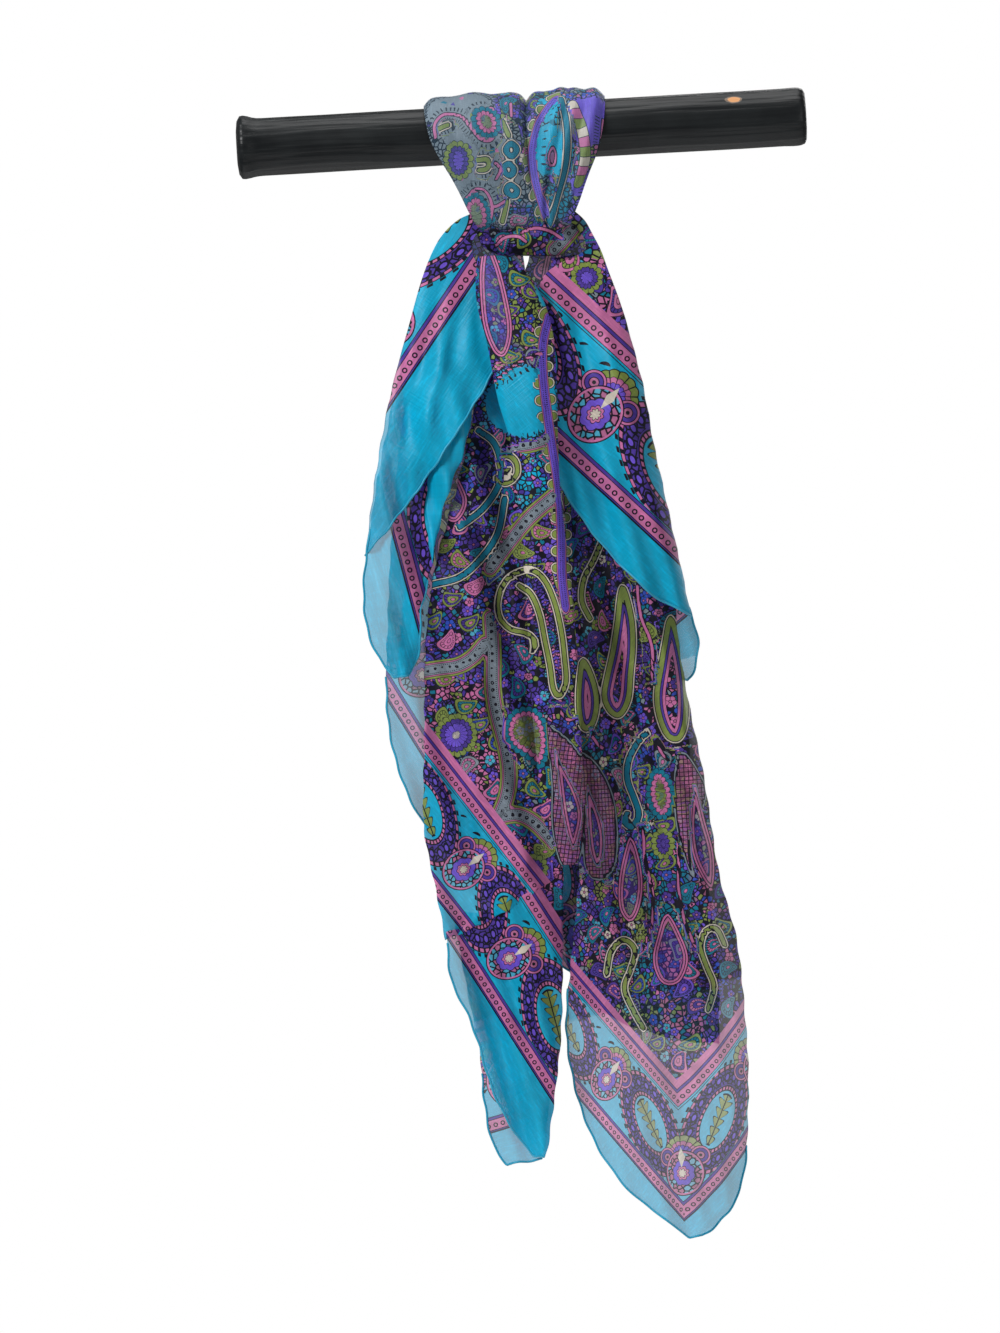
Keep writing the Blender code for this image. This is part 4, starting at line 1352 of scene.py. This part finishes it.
def hem_tree():
    """Geometry nodes that roll a hem along a path and whip it with stitches."""
    tree = bpy.data.node_groups.get("rolled_hem")
    if tree:
        return tree
    tree = bpy.data.node_groups.new("rolled_hem", "GeometryNodeTree")
    face = tree.interface
    face.new_socket("Geometry", in_out="INPUT", socket_type="NodeSocketGeometry")
    for label, start in (("Hem Radius", 0.0006), ("Stitch Spacing", 0.0032),
                         ("Stitch Length", 0.0011)):
        socket = face.new_socket(label, in_out="INPUT", socket_type="NodeSocketFloat")
        socket.default_value, socket.subtype = start, "DISTANCE"
    for label in ("Hem Cloth", "Thread"):
        face.new_socket(label, in_out="INPUT", socket_type="NodeSocketMaterial")
    face.new_socket("Geometry", in_out="OUTPUT", socket_type="NodeSocketGeometry")
    add, link = tree.nodes.new, tree.links.new
    given, result = add("NodeGroupInput"), add("NodeGroupOutput")
    path = add("GeometryNodeMeshToCurve")
    link(given.outputs["Geometry"], path.inputs["Mesh"])
    ring = add("GeometryNodeCurvePrimitiveCircle")
    ring.inputs["Resolution"].default_value = 7
    link(given.outputs["Hem Radius"], ring.inputs["Radius"])
    tube = add("GeometryNodeCurveToMesh")
    tube.inputs["Fill Caps"].default_value = True
    link(path.outputs[0], tube.inputs["Curve"])
    link(ring.outputs[0], tube.inputs["Profile Curve"])
    smooth = add("GeometryNodeSetShadeSmooth")
    link(tube.outputs[0], smooth.inputs["Geometry"])
    cloth = add("GeometryNodeSetMaterial")
    link(smooth.outputs[0], cloth.inputs["Geometry"])
    link(given.outputs["Hem Cloth"], cloth.inputs["Material"])
    points = add("GeometryNodeCurveToPoints")
    points.mode = "LENGTH"
    link(path.outputs[0], points.inputs["Curve"])
    link(given.outputs["Stitch Spacing"], points.inputs["Length"])
    stitch = add("GeometryNodeMeshUVSphere")
    stitch.inputs["Segments"].default_value = 6
    stitch.inputs["Rings"].default_value = 4
    link(given.outputs["Stitch Length"], stitch.inputs["Radius"])
    turned = add("FunctionNodeRotateRotation")
    turned.rotation_space = "LOCAL"
    turned.inputs["Rotate By"].default_value = (0.0, math.radians(38), 0.0)
    link(points.outputs["Rotation"], turned.inputs["Rotation"])
    place = add("GeometryNodeInstanceOnPoints")
    place.inputs["Scale"].default_value = (0.75, 0.75, 0.42)
    link(points.outputs["Points"], place.inputs["Points"])
    link(stitch.outputs["Mesh"], place.inputs["Instance"])
    link(turned.outputs[0], place.inputs["Rotation"])
    solid = add("GeometryNodeRealizeInstances")
    link(place.outputs[0], solid.inputs[0])
    thread = add("GeometryNodeSetMaterial")
    link(solid.outputs[0], thread.inputs["Geometry"])
    link(given.outputs["Thread"], thread.inputs["Material"])
    join = add("GeometryNodeJoinGeometry")
    link(thread.outputs[0], join.inputs[0])
    link(cloth.outputs[0], join.inputs[0])
    link(join.outputs[0], result.inputs[0])
    return tree


def made_by_nodes(name, verts, edges, tree, inputs):
    """A plain mesh from a path and a geometry node tree."""
    path = bpy.data.meshes.new(name + "_path")
    path.from_pydata(verts, edges, [])
    carrier = bpy.data.objects.new(name + "_path", path)
    bpy.context.scene.collection.objects.link(carrier)
    modifier = carrier.modifiers.new("nodes", "NODES")
    modifier.node_group = tree
    for item in tree.interface.items_tree:
        if item.item_type == "SOCKET" and item.in_out == "INPUT" and item.name in inputs:
            modifier[item.identifier] = inputs[item.name]
    bpy.context.view_layer.update()
    graph = bpy.context.evaluated_depsgraph_get()
    mesh = bpy.data.meshes.new_from_object(carrier.evaluated_get(graph), depsgraph=graph)
    carrier.modifiers.remove(modifier)
    bpy.data.objects.remove(carrier)
    mesh.name = name
    piece = bpy.data.objects.new(name, mesh)
    bpy.context.scene.collection.objects.link(piece)
    return piece


def hem_path(name, place):
    """The open hem of a sheet as one line of points, in metres."""
    sides = {"left": place[:, 0], "bottom": place[-1], "right": place[::-1, -1]}
    line = []
    for side, low, high in HEMS[name]:
        line += [tuple(p * MM) for p in sides[side] if low <= p[2] <= high]
    kept = [line[0]]
    for p in line[1:]:
        if (Vector(p) - Vector(kept[-1])).length > 0.0009:
            kept.append(p)
    return kept


def make_hem(name, place):
    cloth = bpy.context.scene.silk_scarf_cloth
    line = hem_path(name, place)
    edges = [(i, i + 1) for i in range(len(line) - 1)]
    hem = made_by_nodes("hem_" + name, line, edges, hem_tree(), {
        "Hem Radius": cloth.hem_radius,
        "Stitch Spacing": cloth.stitch_spacing,
        "Stitch Length": cloth.stitch_length,
        "Hem Cloth": material("hem_silk"),
        "Thread": material("hem_thread"),
    })
    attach(hem, "root")
    return hem


def make_sheet(name):
    place, flat, plies = sheet_grid(name)
    back = name in BACK_FACING
    spots = place[..., [0, 2]].copy()
    if back:
        spots[..., 0] = -8 - spots[..., 0]
    piece = cloth_mesh("silk_" + name, place, flat, spots, FIELD_CHART, GROUNDS, "purple", plies,
                       flip=back)
    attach(piece, "root")
    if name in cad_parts:
        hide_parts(name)
    hems = [make_hem(name, place)] if name in HEMS else []
    width, length, area = flat_size(place)
    return piece


def roll_grid():
    step = bpy.context.scene.silk_scarf_cloth.grid * 1000
    down = int(330 / step) + 2
    edge = np.array(through(ROLL, down))
    left, right, z = (edge[:, [i]] for i in range(3))
    turn = np.linspace(*ROLL_SPAN, 40)[None, :]
    middle, half = (left + right) / 2, (right - left) / 2
    z = z + 0 * turn
    x = middle + half * np.cos(turn)
    gathered = GATHERED + (1 - GATHERED) * smooth_array(
        (GATHER_TOP - z) / (GATHER_TOP - GATHER_END))
    plump = ROLL_PLUMP * half
    y = ROLL_BACK * gathered - 0.5 * PLEAT_DEPTH - 0.6 - 0.55 * plump + plump * np.sin(turn)
    soft = 0.9 * np.sin(turn * 3 + z / 40) + 0.5 * np.sin(turn * 6 - z / 22)
    y = y + soft * smooth_array((-70 - z) / 60) + 0.7 * crinkled(x, z, 21.0, 1.0)
    return np.stack([x, y, z], 2)


def loop_grid(name):
    path = np.array(through([(*p, *s) for p, s in zip(LOOP_PATH, LOOP_SIDES[name])], 130))
    y, z, left, right = (path[:, [i]] for i in range(4))
    s = np.linspace(0, 1, 44)[None, :]
    s = 0.6 * s + 0.4 * (0.5 - 0.5 * np.cos(np.pi * s))
    v = np.linspace(0, 1, 130)[:, None]
    out = np.stack([y, z + 8], 2)
    out = out / np.linalg.norm(out, axis=2, keepdims=True)
    push = LOOP_SWELL * np.sin(np.pi * s) + 0.5 * np.sin(2 * np.pi * 2.5 * s) * np.sin(np.pi * s)
    over_top = 1 - 0.65 * smooth_array((z - 4) / 12)
    for start, end, wide, high in LOOP_FOLDS[name]:
        line = start + (end - start) * smooth_array(v / 0.5)
        push = push + high * over_top * np.exp(-(((s - line) / wide) ** 2))
    x = left + (right - left) * s
    gap = np.minimum(x - left, right - x)
    over_rod = smooth_array((z + 40) / 18)
    push = push - 3.4 * np.clip(1 - gap / 5.0, 0, 1) ** 2 * over_rod
    length = np.concatenate([[0], np.cumsum(np.hypot(np.diff(y[:, 0]), np.diff(z[:, 0])))])
    along = length[:, None] + 0 * s
    y = y + out[..., 0] * push + 0.25 * crinkled(x, along, 11.0, 1.0)
    z = z + out[..., 1] * push
    return np.stack([x, y, z], 2), np.stack([x + 0 * along, along - 52.0], 2)


# Folds across each loop: where they lie at the knot, where at the top, how wide, how high
LOOP_FOLDS = {
    "loop_left": [(0.75, 0.86, 0.05, 1.1), (0.62, 0.66, 0.05, -0.9), (0.40, 0.46, 0.07, 0.7),
                  (0.22, 0.25, 0.06, -0.7), (0.93, 0.96, 0.03, 0.9)],
    "loop_right": [(0.10, 0.42, 0.05, 1.6), (0.20, 0.54, 0.035, -1.5), (0.34, 0.64, 0.05, 1.6),
                   (0.52, 0.76, 0.035, -1.2), (0.70, 0.88, 0.05, 1.3), (0.05, 0.22, 0.05, -1.0)],
}


# The knot's throat, from inside the loops down over the tops of the sheets:
# height, half width, half depth, in mm
THROAT = [(-43, 21, 8.5), (-47, 25.5, 11.5), (-52, 27.5, 13.6), (-57, 27, 13.2), (-61, 24, 11.4),
          (-64, 20, 9.0), (-66, 16, 6.5)]


def band_grid():
    turn = np.linspace(0, 2 * np.pi, 121)[None, :]
    rows = np.array(through(THROAT, 26))
    z, wide, deep = (rows[:, [i]] for i in range(3))
    t = np.linspace(0, 1, 26)[:, None]
    swell = (1.1 * np.sin(5 * turn + 5 * t) + 0.6 * np.sin(11 * turn - 8 * t)) * np.sin(np.pi * t)
    tuck = 1.5 * np.exp(-(((t - 0.45 - 0.07 * np.sin(turn * 2 + 1.0)) / 0.07) ** 2))
    x = (wide + swell - tuck) * np.cos(turn) + 0.5
    y = (deep + swell - tuck) * np.sin(turn)
    z = z + BAND_TILT * x + 0.8 * np.sin(3 * turn + 0.5) * np.sin(np.pi * t)
    return np.stack([x, y, z], 2)


def make_rod():
    """The film-wrapped rod, its film gathered into a rough lip at each end."""
    props = bpy.context.scene.silk_scarf_rod
    low, high = ROD_BOX
    radius = props.radius - 0.0006
    half = (high.x - low.x) / 2
    around, stations = 96, []
    lip, bare = 0.0022, 0.0008
    for x, share in ((-half, 0.55), (-half + 0.0006, 0.86), (-half + 0.0022, 1.0)):
        stations.append((x, share))
    for i in range(120):
        stations.append((-half + 0.004 + (2 * half - 0.009) * i / 119, 1.0))
    for x, share in ((half - 0.0032, 0.99), (half - 0.0014, 0.95), (half - 0.0003, 0.82),
                     (half, 0.55)):
        stations.append((x, share))
    build = bmesh.new()
    rings = []
    for x, share in stations:
        ring = []
        left_lip = math.exp(-(((x + half - 0.004) / 0.0045) ** 2))
        right_lip = math.exp(-(((x - half + 0.007) / 0.004) ** 2))
        for k in range(around):
            a = 2 * math.pi * k / around
            wander = 0.22 * noise.noise(Vector((x * 14, 0.0, 5.0)))
            rough = 0.0
            for at, wide, size in FILM_CREASES:
                turn = math.atan2(math.sin(a - at - wander), math.cos(a - at - wander))
                rough += size * math.exp(-((turn / wide) ** 2))
            rough += 0.00022 * noise.noise(Vector((x * 22, math.cos(a) * 2.4, math.sin(a) * 2.4)))
            ragged = 0.6 + 0.7 * noise.noise(Vector((math.cos(a) * 1.8, math.sin(a) * 1.8, 9.0)))
            ragged += 0.35 * math.sin(2 * a + 0.6) ** 2
            ragged2 = 0.3 + 0.4 * noise.noise(Vector((math.cos(a) * 2, math.sin(a) * 2, 3.0)))
            r = radius * share + rough + lip * left_lip * ragged + bare * right_lip * ragged2
            ring.append(build.verts.new((x, r * math.cos(a), r * math.sin(a))))
        rings.append(ring)
    for first, second in zip(rings, rings[1:]):
        for k in range(around):
            n = (k + 1) % around
            build.faces.new((first[k], first[n], second[n], second[k]))
    for ring, x, turned in ((rings[0], -half + 0.0008, False), (rings[-1], half - 0.0004, True)):
        middle = build.verts.new((x, 0, 0))
        for k in range(around):
            n = (k + 1) % around
            face = (ring[k], middle, ring[n]) if not turned else (ring[n], middle, ring[k])
            build.faces.new(face)
    bmesh.ops.recalc_face_normals(build, faces=build.faces)
    mesh = bpy.data.meshes.new("film_wrapped_rod")
    build.to_mesh(mesh)
    build.free()
    for polygon in mesh.polygons:
        polygon.use_smooth = True
    mesh.materials.append(material("black_film"))
    rod = bpy.data.objects.new("film_wrapped_rod", mesh)
    bpy.context.scene.collection.objects.link(rod)
    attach(rod, "root")
    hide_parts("rod")
    return rod


# Lengthwise creases of the film: angle round the rod, how wide, how high
FILM_CREASES = [
    (math.radians(-168), 0.050, 0.00050),
    (math.radians(-152), 0.035, -0.00040),
    (math.radians(-130), 0.060, 0.00045),
    (math.radians(-98), 0.045, -0.00035),
    (math.radians(-60), 0.060, 0.00040),
    (math.radians(-20), 0.050, 0.00045),
    (math.radians(25), 0.060, -0.00035),
    (math.radians(70), 0.050, 0.00045),
    (math.radians(100), 0.040, -0.00045),
    (math.radians(118), 0.035, 0.00060),
    (math.radians(140), 0.040, -0.00040),
    (math.radians(163), 0.050, 0.00035),
]


def dress(piece, node, place):
    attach(piece, "root")
    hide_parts(node)
    width, length, area = flat_size(place)


# ---------------------------------------------------------------- the add-on

class SilkScarfRod(bpy.types.PropertyGroup):
    radius: FloatProperty(
        name="Rod Radius", description="Radius of the rod with its film",
        default=(ROD_BOX[1].z - ROD_BOX[0].z) / 2, min=0.005, subtype="DISTANCE", unit="LENGTH",
    )


class SilkScarfCloth(bpy.types.PropertyGroup):
    wall: FloatProperty(
        name="Cloth Thickness", description="Thickness of one layer of silk",
        default=0.0003, min=0.0001, subtype="DISTANCE", unit="LENGTH",
    )
    grid: FloatProperty(
        name="Grid", description="Spacing of the cloth's mesh",
        default=0.002, min=0.001, subtype="DISTANCE", unit="LENGTH",
    )
    cover: FloatProperty(
        name="Cover", description="How much of what is behind one layer hides",
        default=0.77, min=0.0, max=1.0, subtype="FACTOR",
    )
    weave: FloatProperty(
        name="Weave", description="Strength of the weave's relief",
        default=0.5, min=0.0, max=1.0, subtype="FACTOR",
    )
    hem_radius: FloatProperty(
        name="Hem Radius", description="Radius of the rolled hem",
        default=0.0006, min=0.0002, subtype="DISTANCE", unit="LENGTH",
    )
    stitch_spacing: FloatProperty(
        name="Stitch Spacing", description="Distance between the hem's stitches",
        default=0.0032, min=0.001, subtype="DISTANCE", unit="LENGTH",
    )
    stitch_length: FloatProperty(
        name="Stitch Length", description="Half length of one stitch",
        default=0.0009, min=0.0003, subtype="DISTANCE", unit="LENGTH",
    )


class SilkScarfStage(bpy.types.PropertyGroup):
    view_centre: FloatVectorProperty(
        name="View Centre", description="Point that the camera looks at",
        default=(-0.0276, 0.0, -0.2846), subtype="TRANSLATION", unit="LENGTH",
    )
    view_height: FloatProperty(
        name="View Height", description="Height that the picture takes in",
        default=0.713, subtype="DISTANCE", unit="LENGTH",
    )
    distance: FloatProperty(
        name="Camera Distance", description="Distance from the camera to the rod",
        default=6.0, subtype="DISTANCE", unit="LENGTH",
    )
    roll: FloatProperty(
        name="Roll", description="Roll of the camera",
        default=math.radians(3.24), subtype="ANGLE", unit="ROTATION",
    )


class SCARF_OT_rod(bpy.types.Operator):
    """Make the film-wrapped rod"""

    bl_idname = "silk_scarf.rod"
    bl_label = "Make Rod"

    def execute(self, context):
        make_rod()
        return {"FINISHED"}


class SCARF_OT_loops(bpy.types.Operator):
    """Make the two loops over the rod and the knot's band"""

    bl_idname = "silk_scarf.loops"
    bl_label = "Make Knot"

    def execute(self, context):
        for name in ("loop_left", "loop_right"):
            place, chart_place = loop_grid(name)
            flat = chart_place * 1.0 + np.array([40.0, 90.0])
            piece = cloth_mesh("silk_" + name, place, flat, chart_place, LOOP_CHART, LOOP_GROUNDS,
                               "grey", np.full(place.shape[:2], 3.0))
            dress(piece, name, place)
        place = band_grid()
        spots = place[..., [0, 2]]
        piece = cloth_mesh("silk_knot_band", place, spots + 150, spots, BAND_CHART, BAND_GROUNDS,
                           "purple", np.full(place.shape[:2], 3.0))
        dress(piece, "knot_band", place)
        return {"FINISHED"}


class SCARF_OT_sheets(bpy.types.Operator):
    """Make the hanging sheets with their rolled hems"""

    bl_idname = "silk_scarf.sheets"
    bl_label = "Make Hanging Sheets"

    def execute(self, context):
        for name in SHEETS:
            make_sheet(name)
        return {"FINISHED"}


class SCARF_OT_roll(bpy.types.Operator):
    """Make the soft roll that falls from the knot"""

    bl_idname = "silk_scarf.roll"
    bl_label = "Make Centre Roll"

    def execute(self, context):
        place = roll_grid()
        spots = place[..., [0, 2]]
        flat = np.stack(flat_place("panel_centre", spots[..., 0], spots[..., 1]), 2)
        flat[..., 0] = np.minimum(flat[..., 0], SIDE - 76)
        piece = cloth_mesh("silk_roll_centre", place, flat, spots, FIELD_CHART, GROUNDS, "purple",
                           np.full(place.shape[:2], 2.4))
        dress(piece, "roll_centre", place)
        return {"FINISHED"}


def area_light(name, where, aim, size, power):
    data = bpy.data.lights.new(name, "AREA")
    data.shape, data.size, data.energy = "SQUARE", size, power
    lamp = bpy.data.objects.new(name, data)
    lamp.location = where
    lamp.rotation_euler = (Vector(aim) - Vector(where)).to_track_quat("-Z", "Y").to_euler()
    bpy.context.scene.collection.objects.link(lamp)


ROOM_LIGHT = 0.24


class SCARF_OT_stage(bpy.types.Operator):
    """Make the floor, the soft lights and the camera"""

    bl_idname = "silk_scarf.stage"
    bl_label = "Make Stage"

    def execute(self, context):
        scene, props = context.scene, context.scene.silk_scarf_stage
        bpy.ops.mesh.primitive_circle_add(vertices=96, radius=0.7, fill_type="NGON",
                                          location=(0, 0, 0))
        floor = context.object
        floor.name = "floor"
        floor.data.transform(Matrix.Translation((0, 0, CAD_BOX[0].z - 0.12)))
        floor.data.materials.append(material("pale_floor"))
        area_light("key_light", (-1.1, -1.1, 0.85), (0, 0, -0.25), 0.6, 33)
        area_light("fill_light", (1.2, -1.3, -0.2), (0, 0, -0.3), 1.0, 5)
        area_light("top_light", (0.1, 0.0, 1.0), (0, 0, -0.2), 0.7, 5)
        area_light("back_light", (0.6, 1.3, 0.3), (0, 0, -0.3), 1.0, 7)
        world = bpy.data.worlds.new("studio")
        world.use_nodes = True
        tree = world.node_tree
        room = tree.nodes["Background"]
        room.inputs[0].default_value = (1, 1, 1, 1)
        seen = Ink(tree, add_node(tree, "ShaderNodeLightPath").outputs["Is Camera Ray"])
        tree.links.new((seen * (1 - ROOM_LIGHT) + ROOM_LIGHT).socket, room.inputs[1])
        scene.world = world
        data = bpy.data.cameras.new("camera")
        camera = bpy.data.objects.new("camera", data)
        scene.collection.objects.link(camera)
        data.sensor_fit = "AUTO"
        data.sensor_width = 36.0
        data.lens = 36.0 * props.distance / props.view_height
        c, s = math.cos(props.roll), math.sin(props.roll)
        right, up, back = Vector((c, 0, -s)), Vector((s, 0, c)), Vector((0, -1, 0))
        turn = Matrix((right, up, back)).transposed()
        place = Vector(props.view_centre) + back * props.distance
        camera.matrix_world = Matrix.Translation(place) @ turn.to_4x4()
        scene.camera = camera
        scene.cycles.transparent_max_bounces = 24
        scene.view_settings.view_transform = "Standard"
        return {"FINISHED"}


class SCARF_PT_panel(bpy.types.Panel):
    """Lists the steps that make the scarf"""

    bl_idname = "SCARF_PT_panel"
    bl_label = "Silk Scarf"
    bl_space_type = "VIEW_3D"
    bl_region_type = "UI"
    bl_category = "Silk Scarf"

    def draw(self, context):
        scene = context.scene
        for group in (scene.silk_scarf_rod, scene.silk_scarf_cloth, scene.silk_scarf_stage):
            for name in group.__annotations__:
                self.layout.prop(group, name)
        for step in STEPS:
            self.layout.operator(step.bl_idname)


STEPS = (SCARF_OT_rod, SCARF_OT_loops, SCARF_OT_sheets, SCARF_OT_roll, SCARF_OT_stage)
CLASSES = (SilkScarfRod, SilkScarfCloth, SilkScarfStage, *STEPS, SCARF_PT_panel)


def register():
    for item in CLASSES:
        bpy.utils.register_class(item)
    bpy.types.Scene.silk_scarf_rod = PointerProperty(type=SilkScarfRod)
    bpy.types.Scene.silk_scarf_cloth = PointerProperty(type=SilkScarfCloth)
    bpy.types.Scene.silk_scarf_stage = PointerProperty(type=SilkScarfStage)


def unregister():
    del bpy.types.Scene.silk_scarf_stage
    del bpy.types.Scene.silk_scarf_cloth
    del bpy.types.Scene.silk_scarf_rod
    for item in reversed(CLASSES):
        bpy.utils.unregister_class(item)


def main():
    register()
    bpy.ops.silk_scarf.rod()
    bpy.ops.silk_scarf.loops()
    bpy.ops.silk_scarf.sheets()
    bpy.ops.silk_scarf.roll()
    bpy.ops.silk_scarf.stage()


if __name__ == "__main__":
    main()
